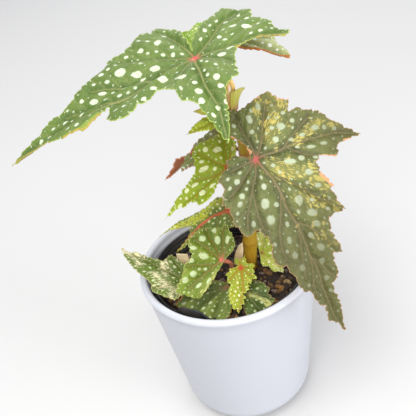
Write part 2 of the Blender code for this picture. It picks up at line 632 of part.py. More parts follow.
def petiole_route(leaf):
    """Route of a petiole from the top or side of the cane, or a hole in the soil, into the junction."""
    junction = Vector(leaf["junction"])
    along, up = blade_frame(leaf)[2:]
    radius = leaf["petiole_radius"]
    stops = [Vector(stop) for stop in leaf["petiole"]]
    first = stops[0] if stops else junction
    upright = Vector((0.0, 0.0, PETIOLE_STRAIGHT))
    if "cane_top" in leaf:
        start = Vector((*leaf["cane_top"], CANE_ROUTE[-1][0][2] + CLEARANCE))
        route = [start, start + upright]
    elif "cane_height" in leaf:
        axis, cane_radius = cane_axis(leaf["cane_height"])
        outward = Vector((first.x - axis.x, first.y - axis.y, 0.0)).normalized()
        start = axis + outward * (cane_radius + CANE_NODE_MARGIN + CLEARANCE)
        route = [start] if leaf.get("sessile") else [start, start + outward * PETIOLE_OUT + upright / 3]
    else:
        surface = Vector((*leaf["soil_hole"], SOIL_TOP))
        route = [surface - Vector((0.0, 0.0, STEM_DEPTH)), surface, surface + upright]
    route += stops
    if leaf.get("sessile"):
        middle = up * BLADE_THICKNESS / 2
        route.append(junction - middle)
        route.append(junction + along * SESSILE_REACH - middle)
    else:
        route.append(junction - up * PETIOLE_UNDER)
        route.append(junction + up * PETIOLE_THROUGH)
    points = [(*stop, radius) for stop in route]
    points[-1] = (*route[-1], radius * PETIOLE_TIP)
    return smooth_route(points, 3)


def leaf_object(name, leaf):
    """Blade with its petiole fused on."""
    body = blade(name, leaf)
    stalk = mesh_object("stalk", *tube(petiole_route(leaf), PETIOLE_SIDES), leaf["finish"])
    boolean_apply(body, stalk, "UNION")
    return body


def stipule(name, sheet):
    """A thin sheet that stands round a stem, flares outward and narrows to its top."""
    columns = 6
    rows = 6
    axis = Vector(sheet["axis"])
    inner = []
    outer = []
    for row in range(rows + 1):
        up = row / rows
        width = sheet["half_width"] * mix(1.0, sheet["top_width"], up ** 1.4)
        for column in range(columns + 1):
            angle = math.radians(sheet["bearing"] + width * (2.0 * column / columns - 1.0))
            direction = Vector((math.cos(angle), math.sin(angle), 0.0))
            radius = sheet["inner"] + sheet["flare"] * up ** 1.5
            place = axis + direction * radius + Vector((0.0, 0.0, sheet["height"] * up))
            inner.append(place)
            outer.append(place + direction * STIPULE_THICKNESS)
    count = len(inner)
    across = columns + 1
    faces = []
    for row in range(rows):
        for column in range(columns):
            here = row * across + column
            quad = (here, here + 1, here + across + 1, here + across)
            faces.append(tuple(reversed(quad)))
            faces.append(tuple(corner + count for corner in quad))
    border = list(range(across))
    border += [row * across + columns for row in range(1, rows + 1)]
    border += [rows * across + column for column in reversed(range(columns))]
    border += [row * across for row in reversed(range(1, rows))]
    for start, end in zip(border, border[1:] + border[:1]):
        faces.append((start, end, end + count, start + count))
    return mesh_object(name, inner + outer, faces, sheet["finish"], 50.0)


def main():
    """Build every piece."""
    clear_scene()
    outer_pot()
    nursery_pot()
    holes = [(CANE_ROUTE[0][0][0], CANE_ROUTE[0][0][1], CANE_ROUTE[0][1] + 2 * CLEARANCE)]
    for leaf in LEAVES.values():
        if "soil_hole" in leaf:
            holes.append((*leaf["soil_hole"], leaf["petiole_radius"] + 2 * CLEARANCE))
    soil(holes)
    cane()
    for name, leaf in LEAVES.items():
        leaf_object(name, leaf)
    for name, sheet in STIPULES.items():
        stipule(name, sheet)


main()
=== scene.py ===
# %% [markdown]
# # A potted begonia
# The real thing is an angel-wing begonia: a short cane, spotted lobed leaves on thin stalks, and a black
# nursery pot of soil that stands inside a smooth white pot. The solids of this plant are already made, so
# this script dresses them: it loads them as a fixed frame and gives each one a finer piece in the same
# place.

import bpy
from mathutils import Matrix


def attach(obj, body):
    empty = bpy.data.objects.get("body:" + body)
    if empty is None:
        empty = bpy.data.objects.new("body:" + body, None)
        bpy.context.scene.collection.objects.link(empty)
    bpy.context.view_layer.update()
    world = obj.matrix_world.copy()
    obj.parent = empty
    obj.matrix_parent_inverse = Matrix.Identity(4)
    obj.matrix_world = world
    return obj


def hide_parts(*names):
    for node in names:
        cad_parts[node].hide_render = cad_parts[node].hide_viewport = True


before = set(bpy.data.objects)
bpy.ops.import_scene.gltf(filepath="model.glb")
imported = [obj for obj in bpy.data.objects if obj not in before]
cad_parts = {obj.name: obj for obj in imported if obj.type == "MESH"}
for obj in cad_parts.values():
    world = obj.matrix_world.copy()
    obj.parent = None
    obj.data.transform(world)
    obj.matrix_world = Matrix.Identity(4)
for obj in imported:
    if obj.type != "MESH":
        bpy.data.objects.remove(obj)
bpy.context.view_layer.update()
print("the frame holds", len(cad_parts), "nodes")

# %% [markdown]
# Lengths below are millimetres, because a leaf is easier to think of that way, and each mesh is scaled to
# metres when it is made. Colours are written as they look on a screen, and turned into the linear light that
# shaders use.

# %% Units and small helpers
import math
import random

import bmesh
import bpy
import numpy as np
from mathutils import Matrix, Vector, noise
from mathutils.geometry import delaunay_2d_cdt
from mathutils.kdtree import KDTree

MM = 0.001


def screen(red, green, blue):
    """A colour picked on a screen, 0 to 255, as a shader's linear colour."""
    linear = []
    for channel in (red, green, blue):
        share = channel / 255
        linear.append(share / 12.92 if share <= 0.04045 else ((share + 0.055) / 1.055) ** 2.4)
    return (*linear, 1.0)


def mix(first, second, share):
    """The value a share of the way from first to second."""
    return first + (second - first) * share


def smooth_route(points, steps):
    """Points along a Catmull-Rom curve through the given ones; the last item of each may be a radius."""
    first = [2 * a - b for a, b in zip(points[0], points[1])]
    last = [2 * a - b for a, b in zip(points[-1], points[-2])]
    chain = [first, *points, last]
    route = []
    for index in range(1, len(chain) - 2):
        before, start, end, after = chain[index - 1:index + 3]
        for step in range(steps):
            t = step / steps
            route.append([
                0.5 * (2 * s + (e - b) * t + (2 * b - 5 * s + 4 * e - a) * t * t
                       + (3 * s - b - 3 * e + a) * t**3)
                for b, s, e, a in zip(before, start, end, after)])
    route.append(list(points[-1]))
    return route


print("a middle grey on a screen is", round(screen(128, 128, 128)[0], 3), "in linear light")

# %% [markdown]
# ## Camera
# A camera's place, its tilt and its roll decide how the object is framed. This one looks down on the plant
# from the front, 34.8 degrees below level, and is rolled a little, which makes the pot lean in the frame.
# The field of view is 36 degrees on a square picture.

# %% Camera
CAMERA_PLACE = Vector((-4.35, -255.42, 301.72))
CAMERA_TILT = 55.2
CAMERA_ROLL = -11.6
CAMERA_VIEW = 36.0


def add_camera():
    """Camera at the viewing angle of the plant."""
    data = bpy.data.cameras.new("camera")
    data.sensor_fit = "HORIZONTAL"
    data.angle = math.radians(CAMERA_VIEW)
    data.clip_start = 0.01
    camera = bpy.data.objects.new("camera", data)
    tilt = Matrix.Rotation(math.radians(CAMERA_TILT), 4, "X")
    roll = Matrix.Rotation(math.radians(CAMERA_ROLL), 4, "Z")
    camera.matrix_world = Matrix.Translation(CAMERA_PLACE * MM) @ tilt @ roll
    bpy.context.scene.collection.objects.link(camera)
    bpy.context.scene.camera = camera
    return camera


camera = add_camera()
print("camera at", tuple(round(value, 3) for value in camera.location))

# %% [markdown]
# ## Shader helpers
# A procedural material is a small network of nodes. Most of these helpers add one node and return its
# result, so that the materials below read like formulas. What changes over a leaf is stored on the mesh as
# attributes, such as the distance to a vein, and the shader reads them by name. Every paint here is one node
# group, made once, that gives a colour, a roughness and a height, and each material sets its own values on
# it.

# %% Shader helpers
SKIN_SHINE = 0.35
GLOW_DEPTH = 0.6
GLOW_SPREAD = (1.0, 0.8, 0.3)


def feed(tree, socket, value):
    """Link a socket's result, or set a plain value."""
    if isinstance(value, bpy.types.NodeSocket):
        tree.links.new(value, socket)
    else:
        socket.default_value = value


def blend_colour(tree, share, first, second):
    """Second colour over first by a share."""
    node = tree.nodes.new("ShaderNodeMix")
    node.data_type = "RGBA"
    feed(tree, node.inputs[0], share)
    feed(tree, node.inputs[6], first)
    feed(tree, node.inputs[7], second)
    return node.outputs[2]


def calculate(tree, operation, first, second, third=0.0):
    """One step of arithmetic. Only a multiply and add uses the third value."""
    node = tree.nodes.new("ShaderNodeMath")
    node.operation = operation
    for socket, value in zip(node.inputs, (first, second, third)):
        feed(tree, socket, value)
    return node.outputs[0]


def smooth_step(tree, value, low, high, start=0.0, end=1.0):
    """From start at low to end at high, eased."""
    node = tree.nodes.new("ShaderNodeMapRange")
    node.interpolation_type = "SMOOTHSTEP"
    feed(tree, node.inputs[0], value)
    for place, number in zip((1, 2, 3, 4), (low, high, start, end)):
        feed(tree, node.inputs[place], number)
    return node.outputs[0]


def cloud(tree, vector, scale, detail=2.0):
    """Soft noise, 0 to 1."""
    node = tree.nodes.new("ShaderNodeTexNoise")
    feed(tree, node.inputs["Vector"], vector)
    feed(tree, node.inputs["Scale"], scale)
    feed(tree, node.inputs["Detail"], detail)
    return node.outputs[0]


def cells(tree, vector, scale, feature="F1"):
    """Distance inside cells, or to the border between them."""
    node = tree.nodes.new("ShaderNodeTexVoronoi")
    node.feature = feature
    feed(tree, node.inputs["Vector"], vector)
    feed(tree, node.inputs["Scale"], scale)
    return node.outputs["Distance"]


def stored(tree, name, kind="Fac"):
    """A value stored on the mesh."""
    node = tree.nodes.new("ShaderNodeAttribute")
    node.attribute_name = name
    return node.outputs[kind]


def stretch(tree, vector, factors):
    """A vector with each part scaled."""
    node = tree.nodes.new("ShaderNodeVectorMath")
    node.operation = "MULTIPLY"
    feed(tree, node.inputs[0], vector)
    feed(tree, node.inputs[1], factors)
    return node.outputs[0]


def new_group(name, colours, numbers):
    """An empty paint group with its sockets."""
    group = bpy.data.node_groups.new(name, "ShaderNodeTree")
    inputs = [(label, "NodeSocketColor") for label in colours]
    inputs += [(label, "NodeSocketFloat") for label in (*numbers, "Roughness Base")]
    for label, kind in inputs:
        group.interface.new_socket(label, in_out="INPUT", socket_type=kind)
    outputs = [("Color", "NodeSocketColor"), ("Roughness", "NodeSocketFloat"), ("Height", "NodeSocketFloat")]
    for label, kind in outputs:
        group.interface.new_socket(label, in_out="OUTPUT", socket_type=kind)
    return group, group.nodes.new("NodeGroupInput").outputs, group.nodes.new("NodeGroupOutput").inputs


def finish_group(tree, given, result, colour, height, mottle, waver):
    """Set what a group gives: its colour, its height, and a roughness that wavers with a mottle."""
    uneven = calculate(tree, "MULTIPLY_ADD", mottle, waver, -waver / 2)
    tree.links.new(colour, result["Color"])
    tree.links.new(calculate(tree, "ADD", given["Roughness Base"], uneven), result["Roughness"])
    tree.links.new(height, result["Height"])
    return tree


def group_material(name, group, values, roughness, bump=0.0, subsurface=0.0):
    """A Principled material that takes its colour, roughness and height from a paint group."""
    material = bpy.data.materials.new(name)
    material.use_nodes = True
    tree = material.node_tree
    shader = tree.nodes["Principled BSDF"]
    paint = tree.nodes.new("ShaderNodeGroup")
    paint.node_tree = group
    for label, value in values.items():
        paint.inputs[label].default_value = value
    paint.inputs["Roughness Base"].default_value = roughness
    tree.links.new(paint.outputs["Color"], shader.inputs["Base Color"])
    tree.links.new(paint.outputs["Roughness"], shader.inputs["Roughness"])
    if bump:
        relief = tree.nodes.new("ShaderNodeBump")
        relief.inputs["Distance"].default_value = bump * MM
        tree.links.new(paint.outputs["Height"], relief.inputs["Height"])
        tree.links.new(relief.outputs["Normal"], shader.inputs["Normal"])
    if subsurface:
        shader.inputs["Specular IOR Level"].default_value = SKIN_SHINE
        shader.inputs["Subsurface Weight"].default_value = subsurface
        shader.inputs["Subsurface Scale"].default_value = GLOW_DEPTH * MM
        shader.inputs["Subsurface Radius"].default_value = GLOW_SPREAD
    return material


print("light spreads", GLOW_DEPTH, "mm under the skin of a leaf")

# %% [markdown]
# ## The paint of a leaf
# A begonia leaf has an even green tissue with a fine pebbled grain, pale spots that the vein leaves free,
# thin veins, a pale margin, and a pink patch where the stalk meets it. The paint also darkens the grooves
# beside the main veins: that is painted shade.
# Some leaves of this plant also have cream flecks, a darker tip, and strips where the coloured underside
# shows; the darker tip is partly the leaf's own olive-brown tone and partly painted shade. All of them
# share one node group, and each leaf sets its own colours on it. Scales are per millimetre of leaf.

# %% Leaf paint group
LEAF_COLOURS = ["Tissue", "Shade", "Spot", "Vein", "Margin", "Hub", "Cream", "Flush", "Flush Edge", "Tip Tone And Shade"]
LEAF_NUMBERS = ["Spot Strength", "Spot Softness", "Hub Size", "Tip Tone And Shade Strength"]
BROAD_SCALE = 0.09
PATCH_SCALE = 0.22
NETWORK_SCALE = 0.42
FINE_SCALE = 0.8
STREAK_SCALE = 0.9
PEBBLE_SCALE = 2.0
SIDE_VEIN_SHARE = 0.5
TIP_TONE_AND_SHADE_ON_VEINS = 0.6


def shaded_tissue(tree, given, flat, network, pebbles):
    """Tissue darker in broad patches, along a fine net and on the pebbles, plus painted shade by the main
    veins.
    """
    share = smooth_step(tree, cloud(tree, flat, BROAD_SCALE, 3.0), 0.35, 0.65, 0.0, 0.5)
    # Painted shade: the tissue darkens in the grooves along the main veins.
    painted_groove_shade = smooth_step(tree, stored(tree, "vein_gap"), 0.3, 3.0, 0.65, 0.0)
    net_lines = smooth_step(tree, network, 0.0, 0.09, 0.28, 0.0)
    on_pebbles = smooth_step(tree, pebbles, 0.1, 0.6, 0.16, 0.0)
    for part in (painted_groove_shade, net_lines, on_pebbles):
        share = calculate(tree, "ADD", share, part)
    return blend_colour(tree, share, given["Tissue"], given["Shade"])


def streaked_cream(tree, given, colour, flat):
    """Cream that gathers near its strokes, in patches and in streaks that run out from the junction."""
    closeness = stored(tree, "cream")
    streaks = cloud(tree, stored(tree, "ray", "Vector"), STREAK_SCALE, 3.0)
    streaks = calculate(tree, "MULTIPLY_ADD", streaks, 9.0, -4.9)
    patches = calculate(tree, "SUBTRACT", cloud(tree, flat, PATCH_SCALE, 1.0), 0.5)
    patches = calculate(tree, "MULTIPLY", patches, 5.5)
    field = calculate(tree, "ADD", closeness, calculate(tree, "ADD", streaks, patches))
    wash = smooth_step(tree, closeness, -0.4, 0.9, 0.0, 0.22)
    colour = blend_colour(tree, wash, colour, given["Cream"])
    cream = smooth_step(tree, field, 0.0, 0.9, 0.0, 0.92)
    return blend_colour(tree, cream, colour, given["Cream"])


def veins_and_hub(tree, given, colour, tip, fine):
    """Veins that blush near the junction, the pale margin, and the patch where the stalk joins."""
    reach = stored(tree, "reach")
    side_veins = calculate(tree, "MULTIPLY", stored(tree, "side_vein"), SIDE_VEIN_SHARE)
    veins = calculate(tree, "MAXIMUM", stored(tree, "main_vein"), side_veins)
    blush = smooth_step(tree, calculate(tree, "DIVIDE", reach, given["Hub Size"]), 0.8, 3.4, 0.65, 0.0)
    vein_colour = blend_colour(tree, blush, given["Vein"], given["Hub"])
    # The veins darken toward the tip too: partly own tone, partly painted shade.
    veins_tip_tone_and_shade = calculate(tree, "MULTIPLY", tip, TIP_TONE_AND_SHADE_ON_VEINS)
    vein_colour = blend_colour(tree, veins_tip_tone_and_shade, vein_colour, given["Tip Tone And Shade"])
    colour = blend_colour(tree, veins, colour, vein_colour)
    rim = smooth_step(tree, stored(tree, "edge"), 0.1, 0.42, 0.75, 0.0)
    colour = blend_colour(tree, rim, colour, given["Margin"])
    uneven_reach = calculate(tree, "DIVIDE", calculate(tree, "ADD", reach, fine), given["Hub Size"])
    hub = smooth_step(tree, uneven_reach, 0.5, 1.6, 1.0, 0.0)
    return blend_colour(tree, hub, colour, given["Hub"])


def make_leaf_paint():
    """Node group that paints a leaf from the values stored on its mesh."""
    tree, given, result = new_group("leaf_paint", LEAF_COLOURS, LEAF_NUMBERS)
    flat = stored(tree, "flat", "Vector")
    fine = cloud(tree, flat, FINE_SCALE, 3.0)
    pebbles = cells(tree, flat, PEBBLE_SCALE)
    network = cells(tree, flat, NETWORK_SCALE, "DISTANCE_TO_EDGE")
    colour = shaded_tissue(tree, given, flat, network, pebbles)
    colour = streaked_cream(tree, given, colour, flat)

    ragged = calculate(tree, "MULTIPLY_ADD", fine, 0.6, -0.3)
    spot_place = calculate(tree, "ADD", stored(tree, "spot"), ragged)
    spot = smooth_step(tree, spot_place, 0.0, given["Spot Softness"])
    spot = calculate(tree, "MULTIPLY", spot, stored(tree, "spot_tone"))
    spot = calculate(tree, "MULTIPLY", spot, given["Spot Strength"])
    colour = blend_colour(tree, spot, colour, given["Spot"])
    # Toward the tip the blade darkens: partly its own olive-brown tone, partly painted shade.
    tip = smooth_step(tree, stored(tree, "far"), 0.06, 0.6, 0.0, given["Tip Tone And Shade Strength"])
    colour = blend_colour(tree, tip, colour, given["Tip Tone And Shade"])
    colour = veins_and_hub(tree, given, colour, tip, fine)

    flush = smooth_step(tree, calculate(tree, "ADD", stored(tree, "flush"), ragged), 0.0, 0.25)
    outer = smooth_step(tree, calculate(tree, "ADD", stored(tree, "edge"), fine), 0.7, 1.6, 1.0, 0.0)
    flush_colour = blend_colour(tree, outer, given["Flush"], given["Flush Edge"])
    colour = blend_colour(tree, flush, colour, flush_colour)

    height = calculate(tree, "MULTIPLY", smooth_step(tree, network, 0.0, 0.25, 1.0, 0.0), -0.5)
    height = calculate(tree, "SUBTRACT", height, calculate(tree, "MULTIPLY", pebbles, 0.9))
    height = calculate(tree, "ADD", height, calculate(tree, "MULTIPLY", spot, 0.35))
    return finish_group(tree, given, result, colour, height, fine, 0.16)


leaf_paint = make_leaf_paint()
print("leaf paint has", len(leaf_paint.nodes), "nodes")

# %% [markdown]
# ## The leaves as numbers
# Each blade has a frame of its own. Its origin is the junction, where the stalk joins, "along" runs down the
# main lobe, "across" to its side, and "up" out of the upper face; "toward" and "faces" give the first and
# the last of them in space. The outline is a list of (across, along) corners. "veins" shape the blade: each
# has its bearing from "along" in degrees, its reach, its lift at the junction and how far it droops by its
# end. "ribs" are the main veins that are drawn, as points; where they are left out, the shaping veins are
# drawn, straight. "spots" holds the size, the crowding and the seed of the drawn spots, and "tooth" the
# pitch and depth of the teeth. "big_spots" are listed, as (across, along, half length, half width,
# heading), and a leaf that has them draws no spot of the largest class. "cream" and "flush" are strokes of
# colour: points along the stroke, its half width and, where it isn't 1, its strength. The stalk starts on
# the cane's top, at a height of the cane, or in a hole of the soil, and passes the stops of its petiole.

# %% Leaves
LEAVES = {
    "leaf_top": dict(
        slot="leaf_green", junction=(2.8, 0, 200.8), toward=(-98, -26, -16), faces=(0, -0.2, 0.98),
        veins=[(-171, 43, 0, 12), (-78, 51, 4, 22), (-27, 42, 8, 12), (-8, 62, 2, 16), (10, 94, 0, 26),
            (39, 40, 4, 10), (82, 34, 6, 12), (147, 35, 4, 10)],
        swell=1.8, spots=(2, 0.95, 11), tooth=(5.4, 1),
        outline=[(4, -1), (12, -2), (19, -2), (24, 0), (32, 5), (28, 9), (31, 12), (29, 16), (26, 20),
            (25, 25), (26, 31), (22, 35), (21, 41), (20, 48), (18, 54), (16, 60), (18, 67), (17, 74),
            (17, 93), (11, 82), (3, 70), (-1, 65), (-3, 59), (-5, 55), (-4, 49), (-3, 42), (-10, 45),
            (-16, 43), (-18, 37), (-14, 31), (-16, 28), (-12, 21), (-16, 17), (-24, 16), (-27, 12),
            (-38, 11), (-50, 10), (-42, 5), (-33, 1), (-25, -3), (-24, -9), (-15, -12), (-7, -17), (-4, -27),
            (-6, -33), (-10, -37), (-7, -42), (-4, -39), (-1, -37), (2, -38), (7, -36), (11, -33), (16, -35),
            (19, -30), (23, -25), (20, -18), (18, -13), (12, -6), (7, -2)],
        ribs=[[(0, 0), (-1, 7), (-1.5, 14), (-3, 20), (-3.3, 26), (-3.5, 32), (-2, 39), (1, 47), (5, 58),
                (10, 70), (15, 84), (17, 92)], [(0, 0), (4, 7), (7.6, 12), (11, 17), (15, 22), (20, 28)],
            [(0, 0), (5, 0.5), (10, 1.3), (18, 3), (27, 6)],
            [(0, 0), (-1.2, -7), (-3, -18), (-3, -28), (-6, -38)],
            [(0, 0), (2.5, -5), (6, -10), (10, -15), (14, -20), (17, -28)],
            [(0, 0), (-4, 1.5), (-10, 2.2), (-19, 4), (-26, 4.5), (-33, 5), (-40, 7), (-48, 9.5)],
            [(0, 0), (-4, 5), (-8, 10), (-12, 16)], [(0, 0), (-5, -4), (-10, -8), (-16, -11)],
            [(-3, 20), (3, 29), (9, 36), (15, 45)], [(-3, 37), (4, 46), (10, 54), (13, 60)]],
        big_spots=[(17.5, 9.3, 2.3, 1.6, -66), (19, 17.5, 1.5, 1.2, 40), (12.7, 29.9, 2.6, 2.1, 35),
            (6.8, 24.5, 2.4, 1.4, 35), (4.2, 16.8, 2.3, 1.1, 22), (10.8, 5.5, 1, 0.9, 0),
            (-11.3, 10.8, 2.6, 1.6, 38), (-7.5, 17.4, 2, 1.5, 30), (-22.6, 8, 1.8, 1.5, 100),
            (-28, 9.5, 1.6, 1.3, 100), (-19.5, -1.3, 1.7, 1.4, 80), (-24.7, -0.5, 1.5, 1.3, 80),
            (-33, 1.5, 1.3, 0.9, 100), (8.3, -22.3, 1.9, 1, 20), (4.8, -27.2, 2.3, 1.3, 30),
            (11.5, -10.7, 1.3, 0.9, -60), (-3.4, -10.2, 1.8, 0.8, 25), (-8, -9.4, 1.9, 1, 30),
            (9, 45.8, 2.1, 1.3, 30), (10, 41, 2, 0.9, 30), (13.5, 50.3, 1.2, 0.9, 30),
            (10.5, 61, 1.6, 1, 20), (18.5, 37.5, 1.4, 1.1, 30), (-9.5, 40, 1.4, 0.8, 30),
            (11, 70.5, 1.2, 0.7, 20), (2.5, 32.5, 1.5, 0.7, 30), (-17.8, 7.4, 1.1, 1, 0),
            (-33.2, 5.4, 1.3, 0.9, 90), (-36, 8.6, 1.2, 0.8, 90), (10, -30, 1.2, 1, 0),
            (13, -21.2, 1.2, 1, 0), (4.8, -14.2, 1, 0.9, 0), (-5.1, -14.2, 1.7, 0.8, 0),
            (1, 23.5, 1.4, 0.9, 0), (-5.6, 34.8, 1.9, 0.8, 0), (-13.5, 28.3, 1.3, 0.8, 0),
            (-10.4, 22.6, 1.4, 0.9, 0), (-18, 13.5, 1.3, 0.6, 90), (5.8, 53, 1.3, 1, 0),
            (13, 75, 1.2, 1.1, 20), (-0.8, -31, 1.2, 0.7, 0), (22.5, 5, 1.3, 0.9, 60),
            (22, 12.5, 1.2, 0.8, 60), (21, 24, 1.2, 0.9, 40), (2, 61, 1.2, 0.8, 20),
            (6, 66.5, 1.1, 0.7, 20)],
        cane_top=(15.1, 12), petiole=[(16, 11.4, 174.5), (17.3, 9.5, 180.6), (11.5, 4.5, 195)], girth=1.1,
        stalk="pink_stalk",
        flush=[([(17, 91), (11, 82), (3, 71)], 1), ([(-1, 64), (-4, 55)], 1.1), ([(-4, 55), (-3, 47)], 1.5),
            ([(-4, -28), (-6, -32), (-9, -38)], 1), ([(-6, -17), (-9, -22)], 1)]),
    "leaf_right": dict(
        slot="leaf_olive", junction=(20.9, -12, 153.3), toward=(40, -70, -80), faces=(0.1, -0.75, 0.65),
        veins=[(-176, 28, 0, 10), (-137, 33, 0, 6), (-73, 51, 0, 10), (-29, 46, 0, 10), (-13, 56, 0, 10),
            (4, 88, 0, 20), (39, 35, 0, 6), (67, 26, 0, 6), (119, 14, 0, 8)],
        swell=1.2, spots=(2, 0.85, 23), tooth=(5.6, 1.1),
        outline=[(1, -4), (1, -9), (5, -17), (3, -24), (-2, -27), (-6, -23), (-15, -24), (-22, -24),
            (-25, -18), (-28, -16), (-25, -11), (-30, -10), (-33, -7), (-37, -4), (-40, 2), (-49, 15),
            (-37, 13), (-33, 18), (-27, 14), (-23, 15), (-22, 20), (-24, 28), (-22, 29), (-23, 40),
            (-14, 39), (-12, 45), (-12, 55), (-7, 54), (-4, 64), (0, 65), (1, 75), (5, 88), (7, 81), (9, 79),
            (8, 72), (10, 70), (10, 64), (13, 61), (14, 48), (18, 44), (15, 36), (15, 31), (17, 27),
            (22, 28), (24, 19), (22, 13), (24, 10), (19, 3), (20, -1), (12, -4), (12, -7), (7, -6), (3, -3),
            (2, -1)],
        ribs=[[(0, 0), (-1, 8), (-1.5, 13.5), (-1, 20), (0, 25), (0, 36), (1, 43), (2, 50), (2.2, 57),
                (4, 64), (5, 71), (6, 78), (5.2, 86)],
            [(-1, 10), (-4, 12.5), (-7, 16), (-9.5, 20), (-15, 29.5), (-21, 38)],
            [(0, 33), (-3.3, 37), (-5.5, 41), (-9, 49), (-10.5, 53)],
            [(2, 50), (-0.3, 55), (-1.5, 60), (-3, 64)],
            [(-1, 19), (4, 27), (8.5, 33), (11.5, 40), (12, 46)], [(0, 34), (2, 41), (5, 47), (9, 57)],
            [(1.5, 47), (4, 55), (7, 61), (8.5, 68)],
            [(0, 0), (4, 6), (8, 10), (13, 15.5), (17, 20), (20, 25)],
            [(9, 11.5), (11.5, 18), (13.5, 25), (14, 31)], [(0, 0), (8, 4), (14, 7), (20, 8.5)],
            [(0, 0), (7, -0.5), (13, -1)],
            [(0, 0), (-4, -3), (-7, -6), (-9.7, -9.8), (-13, -13.8), (-19, -20.5)],
            [(0, 0), (-1.3, -5), (-1.5, -9.5), (-2, -14.5), (-3, -22)],
            [(0, 0), (-5, 0.6), (-11, 2), (-19, 3), (-29, 5.6), (-34.5, 7), (-40, 9), (-46, 13)],
            [(-13, 2.2), (-20, -0.5), (-25.5, -2.5), (-31, -4)],
            [(-15, 2.5), (-18, 7), (-22, 11), (-27, 14)]],
        big_spots=[(-7.3, -16.9, 2.4, 1.5, 10), (-14, -20, 1.9, 1.2, 20), (-5, -11.4, 1.2, 1.2, 0),
            (-12.3, -2.8, 1.6, 1.5, 0), (-17.6, -6.7, 2.1, 1.9, -60), (-22, -11.5, 1.3, 1, -60),
            (-23.5, -6.4, 1.2, 1.2, 0), (-24, 1.4, 1.6, 1, -75), (-31, 1.6, 2, 1.4, -75),
            (-35, 3.6, 1.2, 1.2, 0), (-24.6, 8.1, 2.4, 0.9, -66), (-30.7, 9.6, 1.9, 0.9, -66),
            (-12.3, 9, 2.9, 1.4, -59), (-17.7, 10.2, 1.6, 1.4, -50), (-17, 17.3, 2, 1.5, -50),
            (-6.3, 25.6, 2.4, 1.9, 20), (-8.5, 33.3, 2.7, 1.7, -59), (-7.8, 38.6, 1.9, 1.5, -50),
            (-2.6, 41.6, 1.6, 1.4, 0), (-3.7, 48.4, 2, 1.6, -30), (-1.2, 54, 1.5, 1.3, 0),
            (0.8, 61.6, 1.3, 1.3, 0), (3.9, 12.4, 1.6, 1.3, 20), (7.6, 19.2, 2.5, 2, 30),
            (9.2, 26.5, 2.4, 2, 20), (3.2, 22, 1.3, 1.3, 0), (3.7, 31.9, 1.5, 1, 20),
            (6.7, 38.5, 1.8, 1.3, 20), (8, 45.5, 1.9, 1.5, 20), (8, 52, 1.7, 1.5, 0),
            (12.7, 4.3, 1.6, 1.4, 60), (14.6, 11, 1.5, 1.4, 0), (17.2, 13.6, 1.5, 1.2, 60),
            (16.6, 24, 1.7, 1, 25), (-13.8, -8.2, 1.3, 0.9, -50), (-18.5, 0.6, 1.3, 0.9, -70),
            (-39, 6.4, 1.2, 0.9, -70), (-19.2, 4.9, 1.2, 0.8, -62), (-23.6, 13.2, 1.5, 0.9, -60),
            (-11.4, 28.6, 1.2, 1, -30), (-15.6, 35.6, 1.2, 0.9, -50), (-17.6, 24.5, 1.6, 1.2, -60),
            (2, 67.5, 1.1, 1, 0), (9.4, 60.2, 1.1, 1, 0), (10.2, 42.2, 1, 0.9, 0), (13.4, 36.6, 1.1, 0.9, 0),
            (17, 5.2, 1, 0.9, 60), (-10, -20, 1.2, 0.9, 10), (-27, -12.5, 1.2, 0.9, -60)],
        cane_height=134, petiole=[(24.5, 3, 140), (23.5, -6, 148.5)], girth=1.3, stalk="pink_stalk",
        cream=[([(-16, -23), (-12, -18)], 2, 1.1), ([(-22, -22), (-26, -17)], 2.6, 0.85),
            ([(-25, -16), (-16, -11), (-10, -6)], 3, 0.5), ([(-20, -20), (-16, -13)], 2, 0.65),
            ([(-36, 0), (-28, 1), (-21, 3)], 2.6, 0.75), ([(-31, -1), (-26, 1)], 1.2, 0.8),
            ([(-38, 4), (-42, 6)], 1.6, 0.7), ([(-5, 8), (-10, 13), (-13, 16), (-20, 18)], 3, 0.65),
            ([(-15, 17), (-20, 19)], 1.6, 0.7), ([(-17, 21), (-23, 24)], 2.4, 1.5),
            ([(-17, 25), (-22, 28)], 1.4, 1.5), ([(-8, 24), (-14, 32), (-20, 36)], 2.6, 0.45),
            ([(-7, 40), (-12, 50), (-15, 56)], 2.4, 0.3), ([(-9, 62), (-10, 70)], 1.4, 0.35)],
        flush=[([(4, -14), (2, -9), (0.5, -4)], 1.1), ([(-27, 14), (-33, 18)], 0.45),
            ([(-46, 15), (-40, 13)], 0.45), ([(-24, -19), (-28, -16)], 0.7), ([(-14, -25), (-17, -24)], 0.8),
            ([(-22, 21), (-24, 28)], 1.5)]),
    "leaf_left": dict(
        slot="leaf_lime", junction=(8.3, 0, 145.4), toward=(-60, -36, -36), faces=(-0.3, -0.62, 0.72),
        veins=[(-30, 18, 2, 8), (-3, 22, 2, 8), (13, 38, 2, 12), (77, 19, 2, 8), (131, 18, 2, 8),
            (172, 10, 2, 8)],
        swell=1.4, spots=(1.8, 0.5, 31), tooth=(3.4, 0.9),
        outline=[(1, -3), (-1, -6), (1, -8), (4, -12), (8, -13), (14, -12), (15, -7), (19, 0), (19, 4),
            (15, 7), (11, 10), (10, 17), (10, 26), (9, 37), (6, 28), (4, 28), (3, 24), (-1, 22), (-4, 16),
            (-3, 12), (-2, 8), (-3, 3), (-2, -2)],
        ribs=[[(0, 0), (1, 7), (2, 14), (4.3, 24), (8.5, 36)], [(0, 0), (5, 1.5), (10.5, 2), (18, 3)],
            [(0.5, 4), (3, 8.6), (8, 14)], [(0, 0), (4.5, -4.5), (9.7, -9.5)], [(0, 0), (2, -5), (4, -10)],
            [(3, 19), (1, 21)]],
        big_spots=[(9, -3.7, 2.2, 1.5, 40), (13.7, -0.6, 1.4, 1.3, 0), (8, 7.5, 2.7, 1.3, 22),
